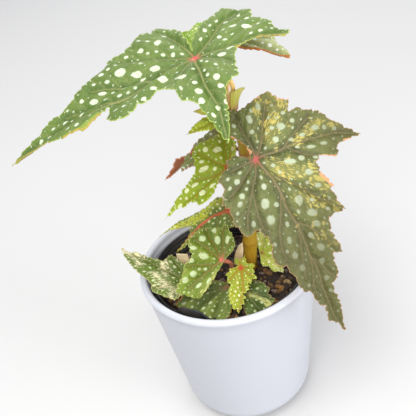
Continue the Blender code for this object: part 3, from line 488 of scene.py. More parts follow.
            (3.6, 4.4, 1.1, 0.9, 0), (1.2, 17.2, 1.7, 1.5, 20), (6.6, 16, 2.1, 0.9, 20),
            (8, 20.6, 1.4, 1, 10), (11.4, 5.2, 1.2, 1, 30), (-0.6, 11.4, 1.9, 0.8, 10),
            (3.4, -8.4, 1.3, 0.7, -30), (6.5, 28, 1.5, 0.7, 12)],
        cane_height=133, petiole=[(12, 2.5, 138)], girth=1, stalk="red_stalk",
        cream=[([(4, -12), (1, -6)], 1.4)]),
    "leaf_low_left": dict(
        slot="leaf_lime", junction=(5.4, 11, 113.4), toward=(-31, 3, -22), faces=(-0.55, -0.43, 0.72),
        veins=[(-81, 9, 2, 8), (0, 39, 2, 8), (20, 49, 2, 8), (78, 10, 2, 8)], swell=1.8,
        spots=(1.1, 0.55, 43), tooth=(3.2, 0.7),
        outline=[(2, -3), (6, -1), (10, 2), (9, 10), (11, 20), (14, 30), (15, 46), (13, 37), (8, 28),
            (5, 23), (2, 27), (0, 40), (-1, 32), (0, 24), (0, 17), (-5, 12), (-8, 6), (-10, 2), (-7, -2),
            (-3, -3)],
        ribs=[[(0, 0), (2.2, 7.7), (3, 14.2), (2.4, 19.6), (2, 26.6), (0.5, 37)],
            [(2.4, 9), (8, 20), (11, 30), (14.5, 44)], [(0, 0), (6, 1.5), (9, 3)],
            [(0, 0), (-5, 1), (-8, 2)], [(1, 4), (-3, 9), (-5, 11)]],
        cane_height=107, petiole=[(9.5, 10, 109)], girth=1.1, stalk="red_stalk",
        cream=[([(6, 14), (10, 30), (14, 43)], 3.4, 1.6), ([(8, 3), (8, 14)], 3.6, 1.4)],
        flush=[([(-1, 0), (2, 8), (2, 10)], 0.9), ([(2, 10), (2, 20)], 0.9, 0.65),
            ([(2, 20), (1, 31), (0, 39)], 0.7, 0.3)]),
    "leaf_centre": dict(
        slot="leaf_olive", junction=(-2.7, -12, 100.4), toward=(-26, -16, -12), faces=(-0.15, -0.85, 0.5),
        veins=[(13, 27, 2, 10), (39, 19, 2, 8), (82, 19, 2, 8), (114, 18, 2, 8), (144, 19, 2, 8),
            (177, 10, 2, 8)],
        swell=1.4, spots=(2, 0.55, 53), tooth=(3.4, 0.8),
        outline=[(-1, -2), (-1, -6), (0, -10), (3, -12), (8, -14), (11, -15), (11, -11), (16, -7), (18, -4),
            (19, 2), (17, 6), (12, 9), (12, 14), (9, 20), (8, 24), (6, 27), (2, 25), (-4, 22), (-4, 15),
            (-3, 9), (-2, 4)],
        ribs=[[(0, 0), (2, 13), (3, 22)], [(0, 0), (5.2, -6.3), (9, -11), (10, -14)],
            [(0, 0), (5, -2), (10.1, -3.4), (16, -6)], [(0, 0), (5, 0.5), (10.8, 0.7), (17.5, 1.5)],
            [(0.6, 4), (6, 8.8), (11, 14)], [(0, 0), (2, -5), (3, -10)]],
        big_spots=[(8.2, -5.8, 2.2, 1.6, -50), (14.2, -1.2, 1.8, 1.6, 40), (8.2, 4.8, 2.6, 1.7, 60),
            (4.6, -9.2, 2.2, 1, -35), (12.6, -8.4, 1.7, 1, -45), (14.6, 5.2, 2, 1.2, 60),
            (6, 14.8, 1.8, 1.6, 20), (7, 19.6, 1.7, 1.5, 20), (0.2, 17, 2, 0.9, 5), (-1.8, 12, 2, 0.7, -8),
            (11, 10.4, 1.5, 1.1, 50), (3, 9, 1, 1, 0)],
        soil_hole=(0, -1), petiole=[(1.5, -4, 90)], girth=1, stalk="rosy_stalk",
        cream=[([(-2, 6), (-3, 12), (-4, 19)], 1.1)]),
    "leaf_over_rim": dict(
        slot="leaf_green", junction=(-21.2, -10, 89.5), toward=(-44, 8, 14), faces=(0.15, -0.4, 0.9),
        veins=[(-65, 15, 14, 2), (-27, 20, 14, 2), (20, 40, 0, 3), (50, 17, 4, 2)], swell=1.2,
        spots=(1.3, 0.6, 61), tooth=(3.6, 0.8),
        outline=[(5, -1), (11, 7), (13, 11), (9, 14), (10, 22), (12, 28), (12, 33), (14, 37), (8, 34),
            (1, 28), (-6, 19), (-10, 18), (-12, 15), (-13, 6), (-10, 3), (-4, -2)],
        soil_hole=(-19.5, 1), girth=0.9, stalk="green_stalk",
        cream=[([(13, 36), (9, 31), (5, 26)], 1.9, 0.9), ([(0, 18), (-4, 12)], 2.2, 1),
            ([(-4, 14), (-8, 6), (-9, 0)], 3, 0.7), ([(10, 26), (12, 33)], 1.6, 0.9),
            ([(0, 12), (8, 14)], 2.4, 0.6)]),
    "leaf_young_front": dict(
        slot="leaf_lime", junction=(5.9, -10, 91.8), toward=(-2, -26, -9), faces=(0.1, -0.5, 0.86),
        veins=[(-147, 7, 2, 8), (-91, 7, 2, 8), (-44, 10, 2, 8), (11, 26, 2, 8), (64, 10, 2, 8),
            (166, 6, 2, 8)],
        swell=1.4, spots=(1, 0.45, 71), tooth=(3.1, 1.6),
        outline=[(1, -1), (3, -3), (2, -6), (0, -4), (-3, -7), (-3, -2), (-7, -1), (-6, 3), (-7, 7),
            (-3, 10), (-2, 14), (1, 15), (0, 18), (4, 25), (7, 21), (8, 16), (7, 10), (8, 5), (6, 1),
            (3, 0)],
        ribs=[[(0, 0), (0, 7), (1, 15), (4, 24)], [(0, 0), (-3, 3.5), (-5.5, 6)], [(0, 0), (4, 4), (6.5, 8)],
            [(0, 0), (0.5, -4)], [(0, 0), (-4, 0)], [(0, 0), (4, 0.5)]],
        soil_hole=(7.5, -6), girth=0.8, stalk="red_stalk"),
    "leaf_low_right": dict(
        slot="leaf_dark", junction=(4.6, -19, 84.4), toward=(22, -8, -1), faces=(0.1, -0.3, 0.95),
        veins=[(-36, 11, 2, 8), (10, 17, 2, 8), (45, 16, 2, 8)], swell=1.4, spots=(1.5, 0.5, 83),
        tooth=(3.4, 0.8),
        outline=[(-2, 1), (-6, 3), (-6, 8), (-2, 13), (1, 13), (4, 17), (8, 15), (11, 14), (12, 11), (15, 8),
            (14, 4), (8, 1), (4, 0), (1, -1)],
        soil_hole=(1, -16), girth=0.8, stalk="green_stalk",
        cream=[([(1, 1), (3, 6), (5, 12), (8, 14)], 1.6, 1.5)]),
    "leaf_low_left_front": dict(
        slot="leaf_dark", junction=(-3.5, -11, 82), toward=(-22, -14, -1), faces=(-0.1, -0.15, 0.98),
        veins=[(-33, 27, 2, 8), (-1, 28, 2, 8), (28, 29, 2, 8), (45, 19, 2, 8)], swell=1.2,
        spots=(1.7, 0.5, 97), tooth=(3.4, 0.8),
        outline=[(6, 0), (11, 5), (13, 12), (12, 20), (10, 25), (5, 26), (-1, 27), (-7, 24), (-12, 22),
            (-15, 18), (-16, 12), (-12, 6), (-4, 0), (1, -2)],
        soil_hole=(0.5, -11), girth=0.8, stalk="pink_stalk", flush=[([(12, 20), (10, 25)], 1.1)]),
    "leaf_behind_cane": dict(
        slot="leaf_lime", junction=(18.5, 5, 86), toward=(16, -10, -3), faces=(0.1, -0.6, 0.8),
        veins=[(-100, 13, 2, 8), (-46, 11, 2, 8), (21, 16, 2, 8), (54, 8, 2, 8)], swell=1.4,
        spots=(1.5, 0.5, 101), tooth=(3, 0.8),
        outline=[(-1.5, -2.2), (-4, -6), (-8, -7), (-12, -5), (-9, 1), (-8, 5), (-6, 7), (-3, 8), (-1, 11),
            (7, 15), (8, 10), (6, 5), (7, 4), (6, 2), (4, 1)],
        soil_hole=(20, 8), girth=0.8, stalk="brown_stalk",
        cream=[([(6, 12), (3, 6)], 1.6), ([(-9, -5), (-5, -2)], 2)]),
    "leaf_back_left": dict(
        slot="leaf_olive", junction=(8.2, 20, 151.5), toward=(-30, 2, -20), faces=(-0.3, -0.5, 0.8),
        veins=[(-45, 10, 2, 8), (-5, 26, 2, 8), (3, 39, 2, 12), (25, 15, 2, 8), (75, 7, 2, 8)], swell=1.4,
        spots=(1.6, 0.9, 113), tooth=(3.6, 0.8),
        outline=[(3, -1), (6, 1), (5, 6), (6, 13), (3, 17), (4, 22), (6, 27), (4, 31), (2, 39), (0, 33),
            (1, 26), (-2, 27), (-3, 22), (-8, 14), (-8, 7), (-3, 1)],
        cane_height=146, girth=0.9, stalk="red_stalk",
        flush=[([(5, 24), (4, 30), (1, 39)], 3.4), ([(3, 14), (2, 18)], 0.9)]),
    "leaf_young_left": dict(
        slot="leaf_lime", junction=(8.7, 8, 165.6), toward=(-20, -4, -2), faces=(0, -0.3, 0.95),
        veins=[(-30, 9, 4, 8), (0, 16, 2, 8), (35, 9, 4, 8)], swell=1.2, spots=(0.8, 0.5, 127),
        tooth=(2.4, 0.8), outline=[(4, 1), (5, 6), (3, 10), (0, 16), (-2, 12), (-3, 9), (-4, 4), (-2, 0)],
        cane_height=158, girth=0.8, stalk="red_stalk"),
    "leaf_top_right": dict(
        slot="leaf_olive", junction=(19.4, 26, 197.3), toward=(40, -2, -8), faces=(0.1, -0.25, 0.95),
        veins=[(-80, 12, 2, 8), (-30, 19, 2, 8), (2, 20, 2, 8), (27, 32, 2, 10), (49, 16, 2, 8)], swell=1.2,
        spots=(1.5, 0.9, 131), tooth=(4, 0.8),
        outline=[(-2, -3), (-7, -3), (-12, 1), (-9, 6), (-11, 14), (-5, 15), (-1, 22), (6, 23), (10, 27),
            (14, 28), (13, 21), (11, 13), (9, 6), (8, 3), (5, -1)],
        cane_height=160, petiole=[(15.5, 22, 170), (18.5, 26.5, 186)], girth=0.9, stalk="pink_stalk",
        flush=[([(8, 3), (9.5, 7), (11.5, 11)], 2.2), ([(11, 12), (12, 17), (13, 21), (14, 28)], 1.7)]),
    "leaf_top_young": dict(
        slot="leaf_lime", junction=(6.9, 16, 190.5), toward=(-8, 30, 3), faces=(0, -0.12, 0.98),
        veins=[(-30, 24, 2, 8), (5, 39, 2, 8), (22, 45, 2, 8), (60, 16, 2, 8)], swell=1.2,
        spots=(1.3, 0.9, 149), tooth=(4, 0.8),
        outline=[(-3, 0), (-8, 5), (-11, 14), (-8, 20), (-9, 27), (-3, 31), (-2, 37), (3, 39), (7, 36),
            (14, 43), (17, 42), (15, 33), (16, 25), (13, 18), (14, 9), (8, 3), (3, 0)],
        cane_height=167.5, petiole=[(12, 18, 176), (10, 17, 183)], girth=0.8, stalk="green_stalk"),
}
print(len(LEAVES), "leaves")

# %% [markdown]
# Each leaf's colours, as seen on the plant: the newest are lime, the old ones olive, and the oldest low ones
# dark. Only a leaf with flush strokes has flush colours.

# %% Leaf colours
LOOKS = {
    "leaf_top": dict(
        tissue=(108, 130, 58), shade=(80, 104, 38), spot=(206, 216, 188), vein=(152, 150, 92),
        margin=(178, 196, 92), hub=(222, 74, 92), cream=(226, 226, 160), flush=(134, 152, 58),
        flush_edge=(180, 154, 66), under=(158, 150, 62), under_vein=(186, 150, 96), hub_size=1.4),
    # This leaf's tip colour is partly its own olive-brown tone and partly painted shade on its far part.
    "leaf_right": dict(
        tissue=(118, 127, 68), shade=(80, 84, 44), spot=(188, 198, 165), vein=(138, 122, 84),
        margin=(180, 140, 100), hub=(192, 90, 84), cream=(214, 198, 104), flush=(208, 152, 104),
        tip=(80, 77, 34), under=(138, 74, 56), under_vein=(176, 112, 88), hub_size=1.6, spot_softness=0.4),
    "leaf_left": dict(
        tissue=(146, 164, 26), shade=(128, 150, 18), spot=(220, 228, 172), vein=(160, 100, 38),
        margin=(190, 200, 76), hub=(186, 84, 44), cream=(200, 220, 90), under=(150, 140, 50),
        under_vein=(176, 110, 70)),
    "leaf_low_left": dict(
        tissue=(120, 146, 50), shade=(108, 122, 52), spot=(232, 236, 190), vein=(170, 150, 70),
        margin=(186, 180, 90), hub=(206, 80, 60), cream=(206, 212, 60), flush=(214, 112, 68),
        flush_edge=(190, 160, 70), under=(150, 120, 60), under_vein=(190, 110, 70), hub_size=2.4),
    "leaf_centre": dict(
        tissue=(126, 144, 40), shade=(92, 112, 26), spot=(192, 207, 154), vein=(146, 106, 46),
        margin=(186, 192, 100), hub=(190, 112, 84), cream=(206, 206, 120), under=(132, 84, 54),
        under_vein=(170, 104, 80), spot_softness=0.35),
    "leaf_over_rim": dict(
        tissue=(98, 120, 34), shade=(80, 98, 30), spot=(196, 206, 156), vein=(134, 136, 66),
        margin=(190, 184, 116), hub=(180, 110, 80), cream=(232, 220, 178), under=(140, 132, 70),
        under_vein=(170, 140, 90), spot_softness=0.35),
    "leaf_young_front": dict(
        tissue=(168, 178, 44), shade=(138, 152, 28), spot=(236, 240, 184), vein=(190, 92, 40),
        margin=(196, 200, 84), hub=(196, 66, 30), cream=(220, 220, 130), under=(160, 140, 60),
        under_vein=(190, 120, 60), hub_size=1.6),
    "leaf_low_right": dict(
        tissue=(86, 106, 34), shade=(62, 80, 24), spot=(176, 190, 140), vein=(120, 122, 62),
        margin=(180, 150, 96), hub=(140, 110, 70), cream=(196, 196, 116), under=(120, 84, 54),
        under_vein=(150, 100, 70), spot_softness=0.4),
    "leaf_low_left_front": dict(
        tissue=(118, 134, 50), shade=(86, 104, 38), spot=(196, 206, 156), vein=(112, 108, 54),
        margin=(180, 134, 70), hub=(140, 96, 60), cream=(190, 190, 116), flush=(204, 150, 70),
        under=(120, 84, 54), under_vein=(150, 100, 70), spot_softness=0.4),
    "leaf_behind_cane": dict(
        tissue=(200, 212, 84), shade=(160, 182, 50), spot=(250, 252, 220), vein=(196, 170, 96),
        margin=(214, 214, 140), hub=(150, 84, 44), cream=(240, 240, 160), under=(160, 150, 70),
        under_vein=(180, 150, 90), hub_size=1.2),
    "leaf_back_left": dict(
        tissue=(158, 166, 112), shade=(126, 138, 80), spot=(232, 236, 220), vein=(176, 124, 84),
        margin=(190, 130, 88), hub=(186, 90, 60), cream=(210, 214, 170), flush=(144, 84, 50),
        flush_edge=(196, 130, 90), under=(126, 70, 44), under_vein=(170, 100, 76)),
    "leaf_young_left": dict(
        tissue=(192, 204, 52), shade=(160, 176, 32), spot=(226, 232, 132), vein=(180, 160, 60),
        margin=(200, 204, 84), hub=(186, 130, 60), cream=(220, 214, 120), under=(158, 140, 60),
        under_vein=(180, 130, 70)),
    "leaf_top_right": dict(
        tissue=(188, 196, 136), shade=(146, 154, 96), spot=(236, 240, 224), vein=(160, 148, 106),
        margin=(200, 196, 156), hub=(190, 96, 76), cream=(210, 214, 170), flush=(186, 112, 40),
        under=(168, 98, 42), under_vein=(190, 130, 84)),
    "leaf_top_young": dict(
        tissue=(130, 158, 32), shade=(112, 146, 22), spot=(220, 232, 172), vein=(176, 186, 90),
        margin=(214, 222, 104), hub=(190, 130, 80), cream=(224, 230, 150), under=(164, 168, 66),
        under_vein=(184, 176, 90)),
}
UPPER_ROUGHNESS = 0.42
UNDER_ROUGHNESS = 0.55
UPPER_BUMP = 0.2
UNDER_BUMP = 0.12
LEAF_GLOW = 0.12
# How far the tip colour, partly painted shade, takes over a leaf's far part.
TIP_TONE_AND_SHADE_STRENGTH = 0.72
HUB_SIZE = 1.7
SPOT_SOFTNESS = 0.25
UNDER_SPOTS = 0.25
UNDER_SHADE = 0.84


def leaf_materials(name):
    """Upper and under material of one leaf."""
    looks = LOOKS[name]
    labels = ["tissue", "shade", "spot", "vein", "margin", "hub", "cream"]
    upper = {label.title(): screen(*looks[label]) for label in labels}
    upper["Flush"] = screen(*looks.get("flush", looks["tissue"]))
    upper["Flush Edge"] = screen(*looks["flush_edge"]) if "flush_edge" in looks else upper["Flush"]
    # The tip colour is partly a leaf's own tone and partly painted shade.
    upper["Tip Tone And Shade"] = screen(*looks["tip"]) if "tip" in looks else upper["Tissue"]
    upper["Tip Tone And Shade Strength"] = TIP_TONE_AND_SHADE_STRENGTH if "tip" in looks else 0.0
    upper["Hub Size"] = looks.get("hub_size", HUB_SIZE)
    upper["Spot Softness"] = looks.get("spot_softness", SPOT_SOFTNESS)
    upper["Spot Strength"] = 1.0
    under = dict(upper)
    for label in ("Tissue", "Cream", "Flush", "Flush Edge", "Tip Tone And Shade"):
        under[label] = screen(*looks["under"])
    under["Shade"] = screen(*(UNDER_SHADE * channel for channel in looks["under"]))
    under["Vein"] = screen(*looks["under_vein"])
    under["Spot Strength"] = UNDER_SPOTS
    return [
        group_material(name + "_upper", leaf_paint, upper, UPPER_ROUGHNESS, UPPER_BUMP, LEAF_GLOW),
        group_material(name + "_under", leaf_paint, under, UNDER_ROUGHNESS, UNDER_BUMP, LEAF_GLOW),
    ]


print(len(LOOKS), "sets of leaf colours")

# %% [markdown]
# ## The margin
# A leaf's edge isn't a chain of straight lines. The corners of the outline are joined by curves that are
# soft where the edge turns gently and straight at a real point or notch. Small irregular teeth are then
# pushed out of it. The other way would be to draw every tooth by hand, which hides the rule that makes them.

# %% Margin
MARGIN_STEP = 0.45
SHARP_COSINE = 0.1
WANDER_SCALE = 0.09
FINE_PITCH_RATIO = 2.6
FINE_TEETH_SHARE = 0.34
TOOTH_PEAK = 0.8
TOOTH_MEAN = 0.62
TOOTHLESS_REACH = 3.0
TEETH_FADE_LENGTH = 5.0


def soft_ring(corners):
    """Points every fraction of a millimetre round the outline, anticlockwise."""
    corners = np.array(corners, float)
    following = np.roll(corners, -1, 0)
    if np.sum(corners[:, 0] * following[:, 1] - following[:, 0] * corners[:, 1]) < 0:
        corners = corners[::-1]
    sides = np.roll(corners, -1, 0) - corners
    lengths = np.hypot(*sides.T)
    ways = sides / lengths[:, None]
    before = np.roll(ways, 1, 0)
    softness = np.clip((np.sum(ways * before, 1) - SHARP_COSINE) / (1.0 - SHARP_COSINE), 0.0, 1.0)
    shorter = np.minimum(lengths, np.roll(lengths, 1))
    mean_way = ways + before
    mean_way /= np.maximum(np.hypot(*mean_way.T), 1e-6)[:, None]
    ring = []
    for index, corner in enumerate(corners):
        after = (index + 1) % len(corners)
        soft, soft_after = softness[index], softness[after]
        leave = mix(sides[index], mean_way[index] * shorter[index], soft)
        arrive = mix(sides[index], mean_way[after] * shorter[after], soft_after)
        steps = max(2, math.ceil(lengths[index] / MARGIN_STEP))
        for step in range(steps):
            t = step / steps
            place = (2 * t**3 - 3 * t**2 + 1) * corner + (t**3 - 2 * t**2 + t) * leave
            place = place + (3 * t**2 - 2 * t**3) * corners[after] + (t**3 - t**2) * arrive
            ring.append(place)
    return np.array(ring)


def add_teeth(ring, pitch, depth, seed):
    """Push uneven teeth out of the ring and list the notches. Teeth lean to the tip and fade at the hub."""
    ahead = np.roll(ring, -1, 0)
    behind = np.roll(ring, 1, 0)
    outward = np.stack([(ahead - behind)[:, 1], -(ahead - behind)[:, 0]], 1)
    outward /= np.maximum(np.hypot(*outward.T), 1e-6)[:, None]
    travelled = np.cumsum(np.hypot(*(ring - behind).T))
    wander = np.array([noise.noise(Vector((distance * WANDER_SCALE, seed, 0.0))) for distance in travelled])
    to_tip = np.hypot(*ahead.T) >= np.hypot(*behind.T)
    fade = np.clip((np.hypot(*ring.T) - TOOTHLESS_REACH) / TEETH_FADE_LENGTH, 0.0, 1.0)
    pushed = np.zeros(len(ring))
    for size, share in ((pitch, 1.0), (pitch / FINE_PITCH_RATIO, FINE_TEETH_SHARE)):
        phase = travelled / size + 1.6 * wander
        place = phase % 1.0
        place = np.where(to_tip, place, 1.0 - place)
        tooth = np.where(place < TOOTH_PEAK, (place / TOOTH_PEAK) ** 0.6, ((1.0 - place) / 0.2) ** 1.3)
        pushed += depth * share * (1.0 + 0.7 * wander) * fade * (tooth - TOOTH_MEAN)
        if share == 1.0:
            notches = np.where((np.floor(phase) != np.floor(np.roll(phase, 1))) & (fade > 0.7))[0]
    return ring + outward * pushed[:, None], [(ring[index], -outward[index]) for index in notches]


def margin_gauge(ring):
    """A function that gives the distance of points from the margin, negative outside it."""
    tree = KDTree(len(ring))
    for index, point in enumerate(ring):
        tree.insert((*point, 0.0), index)
    tree.balance()
    sides = np.roll(ring, -1, 0) - ring

    def gap(points):
        points = np.atleast_2d(points)
        nearest = np.array([tree.find((x, y, 0.0))[1] for x, y in points])
        found = []
        for index in (nearest - 1, nearest):
            offset = points - ring[index]
            side = sides[index]
            length = np.maximum(np.hypot(*side.T), 1e-9)
            share = np.clip(np.sum(offset * side, 1) / length**2, 0.0, 1.0)
            distance = np.hypot(*(offset - share[:, None] * side).T)
            found.append((distance, (side[:, 0] * offset[:, 1] - side[:, 1] * offset[:, 0]) / length))
        (first, first_hand), (second, second_hand) = found
        hand = np.where(first < second - 1e-9, first_hand, second_hand)
        hand = np.where(np.abs(first - second) <= 1e-9, first_hand + second_hand, hand)
        return np.minimum(first, second) * np.where(hand >= 0, 1.0, -1.0)

    return gap


top_ring, top_notches = add_teeth(soft_ring(LEAVES["leaf_top"]["outline"]), *LEAVES["leaf_top"]["tooth"], 11)
print("the top leaf's margin has", len(top_ring), "points and", len(top_notches), "notches")

# %% [markdown]
# ## The veins
# Begonia ribs fan out of the junction, one down each lobe, and the strongest ones branch. Side veins leave
# each rib alternately left and right, steeply near the base and more forward near the tip, bend forward, and
# stop at the margin or half way to the next rib. They are lines of points here, so that the blade can later
# fold along them.

# %% Veins
VEIN_STEP = 0.7
SIDE_PITCH = 4.2
SHORT_RIB_PITCH = 2.4
LONG_RIB = 60
VEIN_INSET = 0.4
HUB_GIRTH = 0.24
BRANCH_GIRTH = 0.18
SIDE_VEIN_BEND = 0.9
SIDE_VEIN_STEPS = 40
VEIN_SEARCH = 6.0
FAR_GAP = 50.0


def bearing_of(point):
    """Bearing of a point from the along direction, in degrees."""
    return math.degrees(math.atan2(point[0], point[1]))


def direction_of(bearing):
    """Unit direction at a bearing."""
    return np.array([math.sin(math.radians(bearing)), math.cos(math.radians(bearing))])


def even_line(points):
    """A smooth line through some points, as points at an even step."""
    route = np.array(smooth_route(points, 10))
    lengths = np.concatenate([[0.0], np.cumsum(np.hypot(*np.diff(route, axis=0).T))])
    places = np.arange(0.0, lengths[-1], VEIN_STEP)
    return np.stack([np.interp(places, lengths, route[:, axis]) for axis in (0, 1)], 1)


def vein_lines(leaf, gauge):
    """Veins as (points, half widths, is it a rib)."""
    straight = [[(0.0, 0.0), tuple(direction_of(bearing) * reach)] for bearing, reach, _, _ in leaf["veins"]]
    ribs = [even_line(points) for points in leaf.get("ribs", straight)]
    ribs = [rib[gauge(rib) > VEIN_INSET] for rib in ribs]
    lines = []
    for index, rib in enumerate(ribs):
        length = len(rib) * VEIN_STEP
        from_hub = np.hypot(*rib[0]) < 3.0
        girth = (HUB_GIRTH if from_hub else BRANCH_GIRTH) + 0.0040 * length
        lines.append((rib, np.linspace(girth, 0.3 * girth, len(rib)), True))
        others = np.concatenate([other for number, other in enumerate(ribs) if number != index])
        pitch = mix(SHORT_RIB_PITCH, SIDE_PITCH, min(1.0, length / LONG_RIB))
        for number in range(1, int(length * 0.9 / pitch) + 1):
            start = min(int(number * pitch / VEIN_STEP), len(rib) - 2)
            hand = 1 if number % 2 else -1
            heading = bearing_of(rib[start + 1] - rib[start]) + hand * mix(52, 34, start / len(rib))
            place = rib[start]
            points = [place]
            for _ in range(SIDE_VEIN_STEPS):
                heading -= hand * SIDE_VEIN_BEND
                place = place + direction_of(heading) * VEIN_STEP
                own = np.min(np.hypot(*(rib - place).T))
                if np.min(np.hypot(*(others - place).T)) < own + 0.3 or gauge(place)[0] < VEIN_INSET:
                    break
                points.append(place)
            if len(points) > 2:
                lines.append((np.array(points), np.linspace(0.34 * girth, 0.1, len(points)) + 0.04, False))
    return lines


def line_closeness(points, lines):
    """How near each point is to a main and a side vein (1 on it), and its gap to the nearest of each."""
    main = np.zeros(len(points))
    side = np.zeros(len(points))
    gap = np.full(len(points), FAR_GAP)
    side_gap = np.full(len(points), FAR_GAP)
    for line, widths, is_main in lines:
        low = line.min(0) - VEIN_SEARCH
        high = line.max(0) + VEIN_SEARCH
        near = np.where(np.all((points > low) & (points < high), 1))[0]
        here = points[near]
        for start, end, width in zip(line[:-1], line[1:], widths):
            way = end - start
            share = np.clip((here - start) @ way / (way @ way), 0.0, 1.0)
            distance = np.hypot(*(here - start - share[:, None] * way).T)
            value = np.exp(-((distance / width) ** 2)) * min(1.0, 0.45 + width)
            if is_main:
                main[near] = np.maximum(main[near], value)
                gap[near] = np.minimum(gap[near], distance)
            else:
                side[near] = np.maximum(side[near], value)
                side_gap[near] = np.minimum(side_gap[near], distance)
    return main, side, gap, side_gap


top_gauge = margin_gauge(top_ring)
top_veins = vein_lines(LEAVES["leaf_top"], top_gauge)
print("the top leaf has", sum(rib for _, _, rib in top_veins), "ribs and", len(top_veins), "veins in all")

# %% [markdown]
# ## The spots
# The pale spots are air pockets under the skin. They are ovals that lie along the lobes, large in the middle
# between two veins, small beside a vein or the margin, and most notches hold one too. So, after the spots
# that are listed, a spot is drawn at random, gets the size that its free room allows, and is kept if
# it clears the ones before it. The draw is seeded, so every run gives the same leaf. Each class of spots has
# its largest and smallest share of the leaf's spot size, its spacing and its strength.

# %% Spots
SPOT_TRIES = 3000
BIG_SPOT_SCALE = 1.12
SPOT_INSET = 0.4
SPOTLESS_REACH = 3.0
NOTCH_SPOT_CHANCE = 0.75
SPOT_SWAY = 16
SPOT_CLASSES = [(1.0, 0.55, 1.8, 1.0), (0.72, 0.36, 1.2, 0.95), (0.28, 0.15, 1.2, 0.85)]


def scatter_spots(leaf, gauge, lines, notches):
    """Spots as (place, half length, half width, heading, tone)."""
    size, crowding, seed = leaf["spots"]
    draw = random.Random(seed)
    corners = np.array(leaf["outline"], float)
    low = corners.min(0)
    high = corners.max(0)
    tries = [[draw.uniform(low[0], high[0]), draw.uniform(low[1], high[1])] for _ in range(SPOT_TRIES)]
    tries = np.array(tries)
    edge = gauge(tries)
    _, _, vein_gap, _ = line_closeness(tries, lines)
    inside = np.where((edge > SPOT_INSET) & (np.hypot(*tries.T) > SPOTLESS_REACH))[0]
    spots = []
    taken = []

    def place_spot(x, y, long, wide, heading, tone):
        taken.append((x, y, long))
        spots.append((np.array([x, y]), long, wide, heading, tone))

    for x, y, long, wide, heading in leaf.get("big_spots", []):
        place_spot(x, y, long * BIG_SPOT_SCALE, wide * BIG_SPOT_SCALE, heading, 1.0)
    for place, inward in notches:
        if draw.random() < NOTCH_SPOT_CHANCE:
            x, y = place + inward * draw.uniform(0.7, 1.4)
            place_spot(x, y, draw.uniform(0.5, 0.9), draw.uniform(0.3, 0.45), bearing_of(inward), 0.9)
    classes = SPOT_CLASSES[1:] if "big_spots" in leaf else SPOT_CLASSES
    for most, least, spacing, strength in classes:
        for index in inside:
            room = min(edge[index] * 0.6, (vein_gap[index] - 0.35) * 0.7, size * most)
            long = draw.uniform(0.72, 1.0) * room
            x, y = tries[index]
            gap = spacing * crowding
            clashes = (math.hypot(x - a, y - b) < long + other + gap for a, b, other in taken)
            if long < size * least or any(clashes):
                continue
            heading = bearing_of(tries[index]) + draw.uniform(-SPOT_SWAY, SPOT_SWAY)
            wide = long * draw.uniform(0.55, 0.85)
            place_spot(x, y, long, wide, heading, strength * draw.uniform(0.85, 1.0))
    return spots


def spot_field(points, spots):
    """Over 0 inside a spot, and the tone of the nearest."""
    field = np.full(len(points), -1.0)
    tone = np.ones(len(points))
    for place, long, wide, heading, strength in spots:
        near = np.where(np.all(np.abs(points - place) < long * 2.2, 1))[0]
        offset = points[near] - place
        way = direction_of(heading)
        run = offset @ way / long
        width = (offset[:, 0] * way[1] - offset[:, 1] * way[0]) / wide
        value = 1.0 - np.hypot(run, width)
        better = value > field[near]
        field[near[better]] = value[better]
        tone[near[better]] = strength
    return field, tone


top_spots = scatter_spots(LEAVES["leaf_top"], top_gauge, top_veins, top_notches)
print("the top leaf has", len(top_spots), "spots")

# %% [markdown]
# ## The blade
# A blade is built flat, cut into small triangles that follow the margin, the veins and the spots, and then
# lifted into shape. The shape is an arc that leaves the junction at each vein's lift and droops as it runs
# out, with a soft swell between two veins. On top of it come grooves along the veins, puckers between the
# side veins and a ripple at the margin. A sculpted or simulated sheet could do this too, but the formula
# keeps the leaf where its solid is.

# %% Flat plan of a blade
BLADE_GRAIN = 0.58
GRAIN_WOBBLE = 0.08
GRAIN_INSET = 0.3
VEIN_CLEAR = 0.22
SMALL_SPOT = 0.7
CUT_TOLERANCE = 1e-4


def loop_edges(count):
    """Edges of a closed loop of points."""
    return [(index, (index + 1) % count) for index in range(count)]


def cut_plan(points, edges):
    """Flat points and triangles that fill the outline and keep every edge."""
    found = delaunay_2d_cdt([Vector(point) for point in points], edges, [], 1, CUT_TOLERANCE)
    return np.array([tuple(point) for point in found[0]]), np.array(found[2])


def flat_plan(leaf, ring, gauge, lines, spots):
    """Flat points and triangles of a blade."""
    points = [ring]
    edges = loop_edges(len(ring))
    count = len(ring)
    for line, _, _ in lines:
        points.append(line)
        edges += [(count + index, count + index + 1) for index in range(len(line) - 1)]
        count += len(line)
    low = ring.min(0)
    high = ring.max(0)
    rows = np.arange(low[1], high[1], BLADE_GRAIN * 0.866)
    columns = np.arange(low[0], high[0], BLADE_GRAIN)
    grid = np.array([(x + (row % 2) * BLADE_GRAIN / 2, y) for row, y in enumerate(rows) for x in columns])
    wobble = np.random.default_rng(leaf["spots"][2]).uniform(-GRAIN_WOBBLE, GRAIN_WOBBLE, grid.shape)
    grid = grid + wobble
    grid = grid[gauge(grid) > GRAIN_INSET]
    _, _, gap, side_gap = line_closeness(grid, lines)
    points.append(grid[np.minimum(gap, side_gap) > VEIN_CLEAR])
    small = [place for place, long, _, _, _ in spots if long < SMALL_SPOT and gauge(place)[0] > SPOT_INSET]
    if small:
        points.append(np.array(small))
    return cut_plan(np.concatenate(points), edges)


